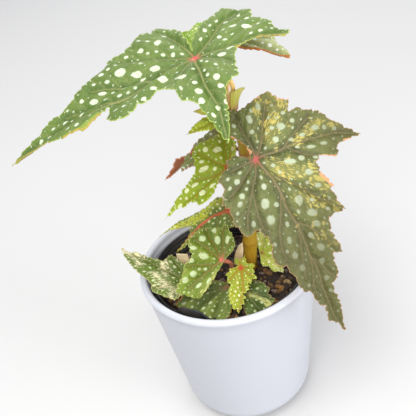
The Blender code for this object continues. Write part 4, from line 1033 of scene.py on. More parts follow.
def close_sheet(flat, triangles):
    """Faces of two sheets and the rim between them, and how many a sheet and the rim have."""
    first, second, third = (flat[triangles[:, corner]] for corner in range(3))
    area = (second - first)[:, 0] * (third - first)[:, 1] - (second - first)[:, 1] * (third - first)[:, 0]
    upper = np.where((area > 0)[:, None], triangles, triangles[:, ::-1])
    count = len(flat)
    starts = upper.ravel()
    ends = np.roll(upper, -1, 1).ravel()
    lonely = ~np.isin(starts * count + ends, ends * count + starts)
    rim = np.stack([starts, starts + count, ends + count, ends], 1)[lonely]
    faces = upper.tolist() + (upper[:, ::-1] + count).tolist() + rim.tolist()
    return faces, len(upper), len(rim)


top_flat, top_triangles = flat_plan(LEAVES["leaf_top"], top_ring, top_gauge, top_veins, top_spots)
print("the top leaf is cut into", len(top_triangles), "triangles")

# %% [markdown]
# The lift of the blade is worked out for all its points at once. Each point finds the two veins that it lies
# between and takes its lift and droop from them.

# %% Lift a blade into shape
SWELL_REACH = 18.0
NO_STROKE = -2.0


def blade_frame(leaf):
    """Junction and the across, along and up directions of a blade."""
    along = Vector(leaf["toward"]).normalized()
    up = Vector(leaf["faces"])
    up = (up - up.dot(along) * along).normalized()
    return [np.array(part) for part in (leaf["junction"], along.cross(up), along, up)]


def lifted(leaf, flat):
    """Places in space of flat points, before the fine relief."""
    junction, across_axis, along_axis, up_axis = blade_frame(leaf)
    reach = np.maximum(np.hypot(*flat.T), 1e-6)
    bearing = np.degrees(np.arctan2(flat[:, 0], flat[:, 1]))
    lift = np.zeros(len(flat))
    turn = np.zeros(len(flat))
    swell = np.zeros(len(flat))
    veins = leaf["veins"]
    for index, start in enumerate(veins):
        end = veins[(index + 1) % len(veins)]
        span = (end[0] - start[0]) % 360.0
        offset = (bearing - start[0]) % 360.0
        share = np.where(offset <= span, offset / span, -1.0)
        here = share >= 0
        lift[here] = mix(start[2], end[2], share[here])
        turn[here] = mix(start[3] / start[1], end[3] / end[1], share[here])
        if index < len(veins) - 1:
            swell[here] = leaf["swell"] * np.sin(math.pi * share[here])
    lift = np.radians(lift)
    turn = np.maximum(np.radians(turn), 1e-6)
    out = (np.sin(lift) - np.sin(lift - turn * reach)) / turn
    rise = (np.cos(lift - turn * reach) - np.cos(lift)) / turn
    rise += swell * np.minimum(1.0, reach / SWELL_REACH)
    plane = (flat[:, :1] * across_axis + flat[:, 1:] * along_axis) * (out / reach)[:, None]
    return junction + plane + rise[:, None] * up_axis


def stroke_field(points, strokes):
    """1 on a stroke's line, 0 at its half width and below 0 past it, all times the stroke's strength."""
    field = np.full(len(points), NO_STROKE)
    for line, width, *strength in strokes:
        for start, end in zip(line, line[1:]):
            start = np.array(start, float)
            way = np.array(end, float) - start
            share = np.clip((points - start) @ way / (way @ way), 0.0, 1.0)
            distance = np.hypot(*(points - start - share[:, None] * way).T)
            field = np.maximum(field, (1.0 - distance / width) * (strength[0] if strength else 1.0))
    return field


top_heights = lifted(LEAVES["leaf_top"], top_flat)[:, 2]
print("the top leaf is", round(float(top_heights.min())), "to", round(float(top_heights.max())), "mm up")

# %% [markdown]
# ## Stalks
# Each leaf stands on a thin juicy stalk, the petiole. It leaves the top or the side of the cane, or the
# soil, and bends into the junction from below, or runs up into the sheet of a bract. It is a tube along a
# smooth curve, made with the same stops as its solid. Each stop of the cane has its place and its radius,
# and each node of the cane its height and how far it swells.

# %% Stalks
SOIL_TOP = 78.0
STEM_DEPTH = 9.0
SHEET = 0.5
GROOVE = 0.7
BURIED_STALK = 4.0
STALK_FOOT_FLARE = 1.35
STALK_STEPS = 8
CANE_ROUTE = [
    ((11.4, 5.4, SOIL_TOP - STEM_DEPTH), 3.8),
    ((11.6, 5.4, 80.0), 3.8),
    ((13.2, 6.0, 91.0), 3.6),
    ((15.6, 7.2, 110.0), 3.2),
    ((17.6, 8.6, 130.0), 2.9),
    ((18.2, 9.6, 147.0), 2.6),
    ((17.0, 11.0, 158.0), 2.3),
    ((15.1, 12.0, 167.0), 2.3),
    ((15.1, 12.0, 169.5), 1.5),
]
CANE_NODES = [(94.0, 0.5), (108.0, 0.5), (132.0, 0.5), (145.0, 0.4), (157.0, 0.4), (167.0, 0.7)]
CANE_NODE_WIDTH = 1.8


def tube(route, sides):
    """Points and faces of a closed tube along a route of (x, y, z, radius)."""
    points = []
    places = [Vector(stop[:3]) for stop in route]
    side = Vector((0.0, 1.0, 0.0))
    for index, place in enumerate(places):
        direction = (places[min(index + 1, len(places) - 1)] - places[max(index - 1, 0)]).normalized()
        side = (side - side.dot(direction) * direction).normalized()
        other = direction.cross(side)
        for turn in range(sides):
            angle = 2 * math.pi * turn / sides
            points.append(place + route[index][3] * (math.cos(angle) * side + math.sin(angle) * other))
    faces = []
    for ring in range(len(places) - 1):
        for turn in range(sides):
            here = ring * sides + turn
            following = ring * sides + (turn + 1) % sides
            faces.append((here, following, following + sides, here + sides))
    faces.append(tuple(reversed(range(sides))))
    faces.append(tuple(range((len(places) - 1) * sides, len(places) * sides)))
    return points, faces


def cane_axis(height):
    """Axis point and radius of the cane at a height."""
    for (low, low_radius), (high, high_radius) in zip(CANE_ROUTE, CANE_ROUTE[1:]):
        if height <= high[2]:
            share = (height - low[2]) / (high[2] - low[2])
            return Vector(low).lerp(Vector(high), share), mix(low_radius, high_radius, share)
    return Vector(CANE_ROUTE[-1][0]), CANE_ROUTE[-1][1]


def stalk_route(leaf):
    """Route of a stalk, as in its solid, drawn with more steps."""
    junction = Vector(leaf["junction"])
    _, _, along, up = blade_frame(leaf)
    up = Vector(up)
    stops = [Vector(stop) for stop in leaf.get("petiole", [])]
    first = stops[0] if stops else junction
    radius = leaf["girth"]
    if "cane_top" in leaf:
        start = Vector((*leaf["cane_top"], CANE_ROUTE[-1][0][2] - 0.3))
        route = [start, start + Vector((0.0, 0.0, 1.5))]
    elif "cane_height" in leaf:
        axis, cane_radius = cane_axis(leaf["cane_height"])
        outward = Vector((first.x - axis.x, first.y - axis.y, 0.0)).normalized()
        start = axis + outward * (cane_radius - 0.2)
        route = [start, start + outward * 3.0 + Vector((0.0, 0.0, 0.5))]
    else:
        surface = Vector((*leaf["soil_hole"], SOIL_TOP))
        route = [surface - Vector((0.0, 0.0, BURIED_STALK)), surface, surface + Vector((0.0, 0.0, 1.5))]
    route += stops
    if "stalk" not in leaf:
        route.append(junction - up * SHEET)
        route.append(junction + Vector(along) * 2.0 - up * SHEET)
    else:
        route.append(junction - up * 2.4)
        route.append(junction - up * (GROOVE + 0.9 * SHEET))
    radii = [radius * STALK_FOOT_FLARE] + [radius] * (len(route) - 1)
    return smooth_route([(*stop, width) for stop, width in zip(route, radii)], STALK_STEPS)


top_stalk = stalk_route(LEAVES["leaf_top"])
print("the top leaf's stalk has", len(top_stalk), "rings")

# %% [markdown]
# ## Stalk and cane paint
# Stems are smooth and waxy, with fine lengthwise streaks, small pale breathing pores, and a colour that
# changes from the foot to the top. One group paints the cane, the stalks, the bracts and the stipule.

# %% Stem paint group
STEM_ROUGHNESS = 0.4
STEM_BUMP = 0.15
STEM_GLOW = 0.15


def make_stem_paint():
    """Node group for stems: three colours up the stem, streaks, pores and rings."""
    tree, given, result = new_group("stem_paint", ["Low", "Middle", "High", "Ring", "Pore"], [])
    rise = stored(tree, "rise")
    skin = stored(tree, "skin", "Vector")
    patch = cloud(tree, skin, 0.5, 2.0)
    place = calculate(tree, "ADD", rise, calculate(tree, "MULTIPLY_ADD", patch, 0.3, -0.15))
    colour = blend_colour(tree, smooth_step(tree, place, 0.0, 0.5), given["Low"], given["Middle"])
    colour = blend_colour(tree, smooth_step(tree, place, 0.5, 1.0), colour, given["High"])
    streaks = cloud(tree, stretch(tree, skin, (3.0, 3.0, 0.25)), 1.0, 3.0)
    colour = blend_colour(tree, smooth_step(tree, streaks, 0.45, 0.75, 0.0, 0.35), colour, given["Pore"])
    dots = cells(tree, stretch(tree, skin, (1.0, 1.0, 0.5)), 1.1)
    colour = blend_colour(tree, smooth_step(tree, dots, 0.08, 0.2, 0.55, 0.0), colour, given["Pore"])
    colour = blend_colour(tree, stored(tree, "ring"), colour, given["Ring"])
    return finish_group(tree, given, result, colour, streaks, streaks, 0.2)


stem_paint = make_stem_paint()
STEM_LOOKS = {
    "cane": dict(
        Low=(178, 128, 24), Middle=(174, 148, 34), High=(184, 164, 46), Ring=(160, 84, 50),
        Pore=(200, 168, 90)),
    "pink_stalk": dict(
        Low=(230, 170, 106), Middle=(238, 198, 122), High=(212, 140, 104), Pore=(232, 204, 156)),
    "rosy_stalk": dict(
        Low=(214, 150, 110), Middle=(228, 150, 116), High=(228, 108, 94), Pore=(234, 190, 150)),
    "red_stalk": dict(Low=(170, 120, 60), Middle=(188, 100, 64), High=(196, 84, 56), Pore=(206, 150, 110)),
    "green_stalk": dict(
        Low=(130, 130, 60), Middle=(142, 150, 70), High=(150, 158, 80), Pore=(190, 190, 130)),
    "brown_stalk": dict(Low=(80, 52, 30), Middle=(92, 56, 34), High=(110, 66, 40), Pore=(130, 90, 60)),
    "stipule": dict(Low=(200, 158, 84), Middle=(170, 166, 58), High=(180, 174, 74), Pore=(214, 208, 130)),
    "papery": dict(Low=(196, 170, 118), Middle=(228, 206, 158), High=(236, 216, 172), Pore=(236, 226, 196)),
}


def stem_material(name):
    """Material of one kind of stem."""
    material = bpy.data.materials.get(name + "_paint")
    if material is None:
        values = {label: screen(*colour) for label, colour in STEM_LOOKS[name].items()}
        material = group_material(name + "_paint", stem_paint, values, STEM_ROUGHNESS, STEM_BUMP, STEM_GLOW)
    return material


print("stem paint has", len(stem_paint.nodes), "nodes and", len(STEM_LOOKS), "sets of colours")

# %% [markdown]
# ## From numbers to meshes
# Blender makes a mesh from lists of points and faces. The values that the shaders read are stored on its
# points.

# %% Mesh helpers
def new_piece(name, points, faces, materials, values, slots=None):
    """A smooth piece from points in millimetres, with values stored on them."""
    mesh = bpy.data.meshes.new(name)
    mesh.from_pydata(np.asarray(points, float).reshape(-1, 3) * MM, [], faces)
    mesh.shade_smooth()
    for material in materials:
        mesh.materials.append(material)
    if slots is not None:
        mesh.polygons.foreach_set("material_index", np.asarray(slots, np.int32))
    for label, data in values.items():
        data = np.asarray(data, np.float32)
        kind = "FLOAT_VECTOR" if data.ndim == 2 else "FLOAT"
        layer = mesh.attributes.new(label, kind, "POINT")
        layer.data.foreach_set("vector" if data.ndim == 2 else "value", data.ravel())
    mesh.update()
    piece = bpy.data.objects.new(name, mesh)
    bpy.context.scene.collection.objects.link(piece)
    return piece


def tube_values(points, route, sides):
    """Height share, ring and skin place on the points of a tube."""
    count = len(route)
    rise = np.repeat(np.linspace(0.0, 1.0, count), sides)
    lengths = np.cumsum([0.0] + [math.dist(a[:3], b[:3]) for a, b in zip(route, route[1:])])
    turn = np.tile(np.arange(sides) / sides * 2 * math.pi, count)
    radius = np.repeat([stop[3] for stop in route], sides)
    skin = np.stack([radius * np.cos(turn), radius * np.sin(turn), np.repeat(lengths, sides)], 1)
    return {"rise": rise, "ring": np.zeros(len(points)), "skin": skin}


def for_both_sheets(values):
    """The values of an upper sheet, and the same once more for the lower one."""
    return {label: np.concatenate([data, data]) for label, data in values.items()}


top_skin = tube_values(top_stalk, top_stalk, 1)["skin"]
print("the top leaf's stalk is", round(float(top_skin[-1][2])), "mm long")

# %% [markdown]
# ## Leaves with their stalks
# A blade is two sheets with a rim between them. Fine relief goes on top of the lift: a groove along each
# vein, a hollow where the stalk joins, puckers between the veins and a ripple at the margin. The sheet thins
# toward its margin. The underside has the same values stored on it, because spots and veins go through the
# leaf.

# %% Leaves with their stalks
STALK_SIDES = 14
VALLEY = 1.8
PUCKER = 0.5
PUCKER_WIDTH = 1.5
HOLLOW = 0.35
HOLLOW_REACH = 2.2
RIPPLE = 0.22
RIPPLE_TURNS = 17
RIPPLE_LEAN = 0.35
RIPPLE_WIDTH = 2.5
UNDER_KEEL = 0.8
RAY_ACROSS = 34.0
RAY_ALONG = 0.5


def blade_mesh(leaf):
    """Points, faces, material slots and stored values of a blade."""
    ring, notches = add_teeth(soft_ring(leaf["outline"]), *leaf["tooth"], leaf["spots"][2])
    gauge = margin_gauge(ring)
    lines = vein_lines(leaf, gauge)
    spots = scatter_spots(leaf, gauge, lines, notches)
    flat, triangles = flat_plan(leaf, ring, gauge, lines, spots)
    edge = np.maximum(gauge(flat), 0.0)
    main, side, gap, side_gap = line_closeness(flat, lines)
    field, tone = spot_field(flat, spots)
    up = blade_frame(leaf)[3]
    reach = np.hypot(*flat.T)
    bearing = np.arctan2(flat[:, 0], flat[:, 1])
    ripple = np.sin(bearing * RIPPLE_TURNS + reach * RIPPLE_LEAN) * np.exp(-edge / RIPPLE_WIDTH)
    ripple = ripple * np.minimum(1.0, reach / 12)
    hollow = np.exp(-((reach / HOLLOW_REACH) ** 2))
    valley = np.maximum(np.exp(-((gap / VALLEY) ** 2)), 0.35 * side)
    groove = GROOVE * valley * np.minimum(1.0, edge / 2.0)
    from_vein = np.minimum(gap, side_gap)
    pucker = PUCKER * (1 - np.exp(-((from_vein / PUCKER_WIDTH) ** 2))) * np.minimum(1.0, edge / 2.5)
    shape = lifted(leaf, flat)
    upper = shape + up * (pucker - groove - HOLLOW * hollow + RIPPLE * ripple)[:, None]
    thin = SHEET * np.minimum(1.0, 0.45 + edge / 1.2)
    lower = upper - up * (thin + UNDER_KEEL * groove)[:, None]
    faces, face_count, rim_count = close_sheet(flat, triangles)
    slots = [0] * face_count + [1] * face_count + [0] * rim_count
    level = np.zeros(len(flat))
    # "far" places the tip colour, which is partly painted shade.
    values = {
        "main_vein": main, "side_vein": side, "vein_gap": gap, "edge": edge,
        "reach": reach, "far": reach / reach.max(), "spot": field, "spot_tone": tone,
        "ray": np.stack([bearing * RAY_ACROSS, reach * RAY_ALONG, level], 1),
        "flat": np.column_stack([flat, level]),
        "cream": stroke_field(flat, leaf.get("cream", [])),
        "flush": stroke_field(flat, leaf.get("flush", [])),
    }
    return np.concatenate([upper, lower]), faces, slots, for_both_sheets(values), len(spots)


def grow_stalk(name, leaf, look, sheet):
    """The stalk of a leaf or a bract, as a child of its sheet."""
    route = stalk_route(leaf)
    points, faces = tube(route, STALK_SIDES)
    stalk = new_piece(name, points, faces, [stem_material(look)], tube_values(points, route, STALK_SIDES))
    stalk.parent = sheet
    return stalk


def grow_leaf(name, leaf):
    """One leaf: its blade and its stalk as a child."""
    points, faces, slots, values, spot_count = blade_mesh(leaf)
    blade = new_piece(name + "_blade", points, faces, leaf_materials(name), values, slots)
    stalk = grow_stalk(name + "_stalk", leaf, leaf["stalk"], blade)
    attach(blade, "root")
    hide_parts(name)
    print(name, len(faces), "faces,", spot_count, "spots")
    return blade


for leaf_name, leaf_numbers in LEAVES.items():
    grow_leaf(leaf_name, leaf_numbers)

# %% [markdown]
# ## Bracts and stipules
# Where a leaf leaves the stem, a begonia has small sheaths. The green one at the top node stands round the
# stalk, and dry papery ones are left lower down. They are small plain blades, without spots, whose stalk
# runs up into them.

# %% Bracts
BRACTS = {
    "bract_node": dict(
        slot="stipule", junction=(10.6, 11, 168.6), toward=(-12, -1, 3), faces=(-0.1, -0.6, 0.8),
        veins=[(-20, 8, 2, 4), (0, 13, 2, 8), (20, 8, 2, 4)], swell=-0.6,
        outline=[(1.4, -1.5), (2.1, 4), (1.6, 9), (0, 13), (-1.6, 9), (-2.1, 4), (-1.4, -1.5)],
        cane_height=166.5, girth=0.6),
    "bract_cane": dict(
        slot="papery", junction=(4.8, 1, 85.5), toward=(4, 2, 10.5), faces=(-0.3, -0.85, 0.2),
        veins=[(-20, 8, 2, 4), (0, 11, 2, 8), (20, 8, 2, 4)], swell=-0.5,
        outline=[(1.5, -1.5), (2.2, 3), (1.6, 8), (0.3, 12), (-1.2, 10), (-2, 6), (-2, 2), (-1.4, -1.5)],
        soil_hole=(4.5, 2), girth=0.7),
    "bract_left": dict(
        slot="papery", junction=(-22.6, 4.6, 84.5), toward=(0, 0.1, 1), faces=(-0.1, -0.95, 0.1),
        veins=[(-20, 8, 2, 4), (0, 9, 2, 8), (20, 8, 2, 4)], swell=-0.5,
        outline=[(2.2, -1.5), (3, 4), (3, 9.6), (-2.8, 11), (-3, 5), (-2.2, -1.5)], soil_hole=(-22.6, 5.5),
        girth=0.7),
}
BRACT_GRAIN = 0.5
BRACT_INSET = 0.25
BRACT_SHEET = 0.3


def bract_mesh(leaf):
    """A small plain sheet with lengthwise folds."""
    ring = soft_ring(leaf["outline"])
    low = ring.min(0)
    high = ring.max(0)
    columns = np.arange(low[0], high[0], BRACT_GRAIN)
    rows = np.arange(low[1], high[1], BRACT_GRAIN)
    grid = np.array([(x, y) for y in rows for x in columns])
    grid = grid[margin_gauge(ring)(grid) > BRACT_INSET]
    flat, triangles = cut_plan(np.concatenate([ring, grid]), loop_edges(len(ring)))
    up = blade_frame(leaf)[3]
    folds = 0.12 * np.sin(flat[:, 0] * 5.0) + 0.1 * np.sin(flat[:, 1] * 1.3)
    upper = lifted(leaf, flat) + up * folds[:, None]
    lower = upper - up * BRACT_SHEET
    faces, _, _ = close_sheet(flat, triangles)
    rise = np.clip(flat[:, 1] / high[1], 0.0, 1.0)
    level = np.zeros(len(flat))
    values = {"rise": rise, "ring": level, "skin": np.column_stack([flat[:, 0], level, flat[:, 1]])}
    return np.concatenate([upper, lower]), faces, for_both_sheets(values)


def grow_bract(name, leaf):
    """One bract with its short foot."""
    points, faces, values = bract_mesh(leaf)
    bract = new_piece(name + "_sheet", points, faces, [stem_material(leaf["slot"])], values)
    foot = grow_stalk(name + "_foot", leaf, leaf["slot"], bract)
    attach(bract, "root")
    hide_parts(name)
    return bract


for bract_name, bract_numbers in BRACTS.items():
    grow_bract(bract_name, bract_numbers)
print(len(BRACTS), "bracts")

# %% [markdown]
# The stipule at the top node is a sheath that stands part of the way round the stalk. It is a grid of points
# bent round an axis, flared toward the top and on one side more than on the other, with an outer sheet and a
# border.

# %% The stipule round the top node
STIPULE_AXIS = Vector((15.0, 12.1, 168.0))
STIPULE_INNER = 3.4
STIPULE_BEARING = -38.0
STIPULE_HEIGHT = 11.0
STIPULE_HALF_WIDTH = 55.0
STIPULE_FLARE = 4.2
STIPULE_TOP_WIDTH = 0.72
STIPULE_SHEET = 0.35
STIPULE_ROWS = 30
STIPULE_COLUMNS = 36


def grow_stipule():
    """A thin sheath that stands round the stalk, flares outward and is folded lengthwise."""
    rows = STIPULE_ROWS
    columns = STIPULE_COLUMNS
    inner = []
    outer = []
    rise = []
    skin = []
    for row in range(rows + 1):
        up = row / rows
        width = STIPULE_HALF_WIDTH * mix(1.0, STIPULE_TOP_WIDTH, up**1.4)
        for column in range(columns + 1):
            place = 2.0 * column / columns - 1.0
            angle = math.radians(STIPULE_BEARING + width * place)
            way = Vector((math.cos(angle), math.sin(angle), 0.0))
            fold = 0.18 * math.sin(place * 9.0) * up + 0.25 * abs(place) ** 3
            flare = STIPULE_FLARE * mix(0.35, 1.0, 0.5 + 0.5 * place) * up**1.5
            top = STIPULE_HEIGHT * (1.0 - 0.06 * place**2 * up - 0.16 * max(0.0, place) ** 2 * up)
            point = STIPULE_AXIS + way * (STIPULE_INNER + flare + fold) + Vector((0, 0, top * up))
            inner.append(point)
            outer.append(point + way * STIPULE_SHEET)
            rise.append(up)
            skin.append((place * 4.0, 0.0, STIPULE_HEIGHT * up))
    across = columns + 1
    count = len(inner)
    faces = []
    for row in range(rows):
        for column in range(columns):
            here = row * across + column
            quad = (here, here + 1, here + across + 1, here + across)
            faces.append(tuple(reversed(quad)))
            faces.append(tuple(corner + count for corner in quad))
    border = list(range(across))
    border += [row * across + columns for row in range(1, rows + 1)]
    border += [rows * across + column for column in reversed(range(columns))]
    border += [row * across for row in reversed(range(1, rows))]
    for start, end in zip(border, border[1:] + border[:1]):
        faces.append((start, end, end + count, start + count))
    values = {"rise": rise * 2, "ring": [0.0] * (2 * count), "skin": skin * 2}
    sheath = new_piece("stipule_node_sheet", inner + outer, faces, [stem_material("stipule")], values)
    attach(sheath, "root")
    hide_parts("stipule_node")
    return sheath


grow_stipule()
print("stipule made")

# %% [markdown]
# ## The cane
# The cane is thickest at the soil and swells a little at each node, where an old leaf has left a brown ring.
# Its top is reddened all round.

# %% Cane
CANE_SIDES = 40
CANE_STEPS = 18
OLD_NODE_TOP = 140.0
OLD_RING = 0.3
YOUNG_RING = 0.8
RING_WIDTH = 0.7
RED_START = 163.0
RED_LENGTH = 4.0
RED_SHARE = 0.9


def grow_cane():
    """The cane with its nodes and leaf scars."""
    route = smooth_route([(*place, radius) for place, radius in CANE_ROUTE], CANE_STEPS)
    for stop in route:
        for height, swelling in CANE_NODES:
            stop[3] += swelling * math.exp(-((stop[2] - height) / CANE_NODE_WIDTH) ** 2)
    points, faces = tube(route, CANE_SIDES)
    values = tube_values(points, route, CANE_SIDES)
    heights = np.array([point.z for point in points])
    ring = np.zeros(len(points))
    for height, _ in CANE_NODES:
        strength = YOUNG_RING if height > OLD_NODE_TOP else OLD_RING
        ring = np.maximum(ring, strength * np.exp(-(((heights - height) / RING_WIDTH) ** 2)))
    ring = np.maximum(ring, np.clip((heights - RED_START) / RED_LENGTH, 0.0, RED_SHARE))
    values["ring"] = ring
    cane = new_piece("cane_stem", points, faces, [stem_material("cane")], values)
    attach(cane, "root")
    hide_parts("cane")
    return cane


grow_cane()
print("cane made")

# %% [markdown]
# ## The pots
# The white pot is a turned shape: half of its outline spun about the axis. So is the black nursery pot, with
# a few moulded rings inside its collar and one tab that stands up from the rim.

# %% Turned shapes
def lathe(profile, segments, lift=None):
    """Points and faces of a closed profile of (radius, height) turned round Z."""
    points = []
    faces = []
    count = len(profile)
    for step in range(segments):
        angle = 2 * math.pi * step / segments
        for radius, height in profile:
            raised = height if lift is None else height + lift(angle, height)
            points.append((radius * math.cos(angle), radius * math.sin(angle), raised))
    for step in range(segments):
        start = step * count
        end = (step + 1) % segments * count
        for index in range(count - 1):
            faces.append((start + index, end + index, end + index + 1, start + index + 1))
    bottom = len(points)
    points.append((0.0, 0.0, profile[0][1]))
    points.append((0.0, 0.0, profile[-1][1]))
    for step in range(segments):
        start = step * count
        end = (step + 1) % segments * count
        faces.append((bottom, end, start))
        faces.append((bottom + 1, start + count - 1, end + count - 1))
    return points, faces


def arc(centre, radius, start, end, steps):
    """Points of a circular arc, with angles in degrees."""
    turned = []
    for step in range(steps + 1):
        angle = math.radians(mix(start, end, step / steps))
        turned.append((centre[0] + radius * math.cos(angle), centre[1] + radius * math.sin(angle)))
    return turned


def between(start, end, steps):
    """Points from start up to, but without, end."""
    shares = [step / steps for step in range(steps)]
    return [(mix(start[0], end[0], share), mix(start[1], end[1], share)) for share in shares]


print("two points turned in 4 steps make", len(lathe([(1, 0), (1, 1)], 4)[1]), "faces")

# %% [markdown]
# Both pots share a moulded-plastic paint: an even colour with a faint mottle, a slightly uneven gloss, and
# for the black one some dust. The inside of the white pot, and a little of its lip, take a paler white that
# is painted light, as if they were lit more than the outside.

# %% Moulded paint group
def make_moulded_paint():
    """Node group for moulded plastic, with a paler colour painted as light where a stored share says so."""
    tree, given, result = new_group("moulded_paint", ["Body", "Painted Light", "Dust"], ["Dust Amount"])
    place = tree.nodes.new("ShaderNodeTexCoord").outputs["Object"]
    mottle = cloud(tree, place, 60.0, 4.0)
    fine = cloud(tree, place, 900.0, 2.0)
    # Painted light: a stored share turns the body to a paler copy of its colour.
    body = blend_colour(tree, stored(tree, "painted_light"), given["Body"], given["Painted Light"])
    dust = calculate(tree, "MULTIPLY", smooth_step(tree, mottle, 0.4, 0.75), given["Dust Amount"])
    colour = blend_colour(tree, dust, body, given["Dust"])
    height = calculate(tree, "ADD", fine, calculate(tree, "MULTIPLY", mottle, 2.0))
    return finish_group(tree, given, result, colour, height, mottle, 0.14)


moulded_paint = make_moulded_paint()
# The white pot's second, paler white is painted light for its inside and lip.
white_plastic = group_material(
    "white_plastic", moulded_paint,
    {"Body": screen(188, 190, 198), "Painted Light": screen(240, 242, 246), "Dust": screen(188, 190, 195),
     "Dust Amount": 0.2}, 0.34, 0.004)
black_plastic = group_material(
    "black_plastic", moulded_paint,
    {"Body": screen(24, 24, 25), "Painted Light": screen(24, 24, 25), "Dust": screen(96, 88, 74),
     "Dust Amount": 0.3}, 0.42, 0.04)
print("moulded paint has", len(moulded_paint.nodes), "nodes")

# %% [markdown]
# The white pot's profile runs from the middle of the underside round the foot, up the taper, over the lip
# and down the inside to the middle of the floor.

# %% Outer pot
POT_HEIGHT = 91.0
POT_RIM_RADIUS = 46.0
POT_MOUTH_RADIUS = 42.4
POT_NECK_RADIUS = 44.8
POT_NECK_DROP = 4.0
POT_BASE_RADIUS = 36.1
POT_BASE_ROUNDING = 12.5
POT_WALL = 3.0
POT_COLLAR_DEPTH = 3.0
# Share of the paler white, painted light, that the lip takes.
LIP_PAINTED_LIGHT = 0.2
POT_SEGMENTS = 160
POT_SHARP = 40


def painted_light_share(point, neck):
    """Share of the painted light: 0 on the outside of the pot, a little at the lip and 1 on the inside."""
    across, deep, height = point
    if height > neck:
        return LIP_PAINTED_LIGHT
    wall = mix(POT_BASE_RADIUS, POT_NECK_RADIUS, height / neck)
    inside = height > POT_BASE_ROUNDING and math.hypot(across, deep) < wall - POT_WALL / 2
    return 1.0 if inside else 0.0


def make_outer_pot():
    """White pot with a rounded foot, a straight taper and a rounded lip."""
    foot = (POT_BASE_RADIUS - POT_BASE_ROUNDING, POT_BASE_ROUNDING)
    lip = (POT_RIM_RADIUS - POT_MOUTH_RADIUS) / 2
    lip_centre = (POT_RIM_RADIUS - lip, POT_HEIGHT - lip)
    neck = POT_HEIGHT - POT_NECK_DROP
    profile = arc(foot, POT_BASE_ROUNDING, -90, 0, 20)
    profile += between((POT_BASE_RADIUS, POT_BASE_ROUNDING), (POT_NECK_RADIUS, neck), 16)[1:]
    profile.append((POT_NECK_RADIUS, neck))
    profile += arc(lip_centre, lip, -20, 180, 26)
    inside = (POT_NECK_RADIUS - POT_WALL, neck - POT_COLLAR_DEPTH)
    profile += between(profile[-1], inside, 4)[1:]
    profile += between(inside, (POT_BASE_RADIUS - POT_WALL, POT_BASE_ROUNDING), 10)
    profile += arc(foot, POT_BASE_ROUNDING - POT_WALL, 0, -90, 12)
    points, faces = lathe(profile, POT_SEGMENTS)
    # Painted light: the inside and the lip are given the paler white.
    painted_light = [painted_light_share(point, neck) for point in points]
    pot = new_piece("outer_pot_turned", points, faces, [white_plastic], {"painted_light": painted_light})
    pot.data.set_sharp_from_angle(angle=math.radians(POT_SHARP))
    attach(pot, "root")
    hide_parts("outer_pot")
    return pot


make_outer_pot()
print("white pot made")

# %% [markdown]
# The nursery pot is thin. Its wall steps out into a collar under the rim, the inside of the collar has fine
# rings, and the rim is raised at one bearing, which makes the tab.

# %% Nursery pot
NURSERY_RIM_RADIUS = 40.2
NURSERY_BASE_RADIUS = 25.0
NURSERY_TOP = 87.0
NURSERY_GAP = 0.35
NURSERY_BOTTOM = POT_WALL + NURSERY_GAP
NURSERY_WALL = 1.0
NURSERY_STEP_DEPTH = 12.0
NURSERY_STEP = 1.0
NURSERY_COLLAR_FLARE = 1.2
NURSERY_FOOT_CHAMFER = 2.0
TAB_BEARING = 236.0
TAB_WIDTH = 26.0
TAB_HEIGHT = 5.2
TAB_SHOULDER = 6.0
NURSERY_BEVEL = 0.3
NURSERY_SEGMENTS = 144
NURSERY_SHARP = 50
COLLAR_RINGS_DROP = 0.8
COLLAR_RING_DEPTH = 0.28
COLLAR_RING_RATE = 2.6


def nursery_radius(height):
    """Outer radius of the nursery pot's wall at a height."""
    share = (height - NURSERY_BOTTOM) / (NURSERY_TOP - NURSERY_BOTTOM)
    return mix(NURSERY_BASE_RADIUS, NURSERY_RIM_RADIUS - NURSERY_COLLAR_FLARE, share)


def tab_lift(angle, height):
    """How far the nursery pot's rim is raised at its tab."""
    if height < NURSERY_TOP - 0.4:
        return 0.0
    offset = abs((math.degrees(angle) - TAB_BEARING + 180.0) % 360.0 - 180.0)
    return TAB_HEIGHT * min(1.0, max(0.0, (TAB_WIDTH / 2 - offset) / TAB_SHOULDER)) ** 0.7


def make_nursery_pot():
    """Thin black pot with a ringed collar and one tab."""
    rim = NURSERY_RIM_RADIUS
    top = NURSERY_TOP
    bevel = NURSERY_BEVEL
    wall = NURSERY_WALL
    step = top - NURSERY_STEP_DEPTH
    foot = NURSERY_BASE_RADIUS - NURSERY_FOOT_CHAMFER
    foot_top = NURSERY_BOTTOM + NURSERY_FOOT_CHAMFER
    collar = nursery_radius(step) + NURSERY_STEP
    profile = [(foot, NURSERY_BOTTOM), (nursery_radius(foot_top), foot_top), (nursery_radius(step), step)]
    profile += between((collar, step + NURSERY_STEP), (rim, top - bevel), 10)
    profile += [(rim, top - bevel), (rim - bevel, top), (rim - wall + bevel, top), (rim - wall, top - bevel)]
    collar_foot = (collar - wall, step + NURSERY_STEP + wall / 2)
    for radius, height in between((rim - wall, top - COLLAR_RINGS_DROP), collar_foot, 44):
        bulge = COLLAR_RING_DEPTH * max(0.0, math.sin(height * COLLAR_RING_RATE)) ** 3
        profile.append((radius - bulge, height))
    profile.append((nursery_radius(step) - wall, step + wall / 2))
    profile.append((nursery_radius(foot_top) - wall, foot_top + wall))
    profile.append((foot - wall, NURSERY_BOTTOM + wall))
    points, faces = lathe(profile, NURSERY_SEGMENTS, tab_lift)
    pot = new_piece("nursery_pot_turned", points, faces, [black_plastic], {})
    pot.data.set_sharp_from_angle(angle=math.radians(NURSERY_SHARP))
    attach(pot, "root")
    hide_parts("nursery_pot")
    return pot


make_nursery_pot()
print("nursery pot made")

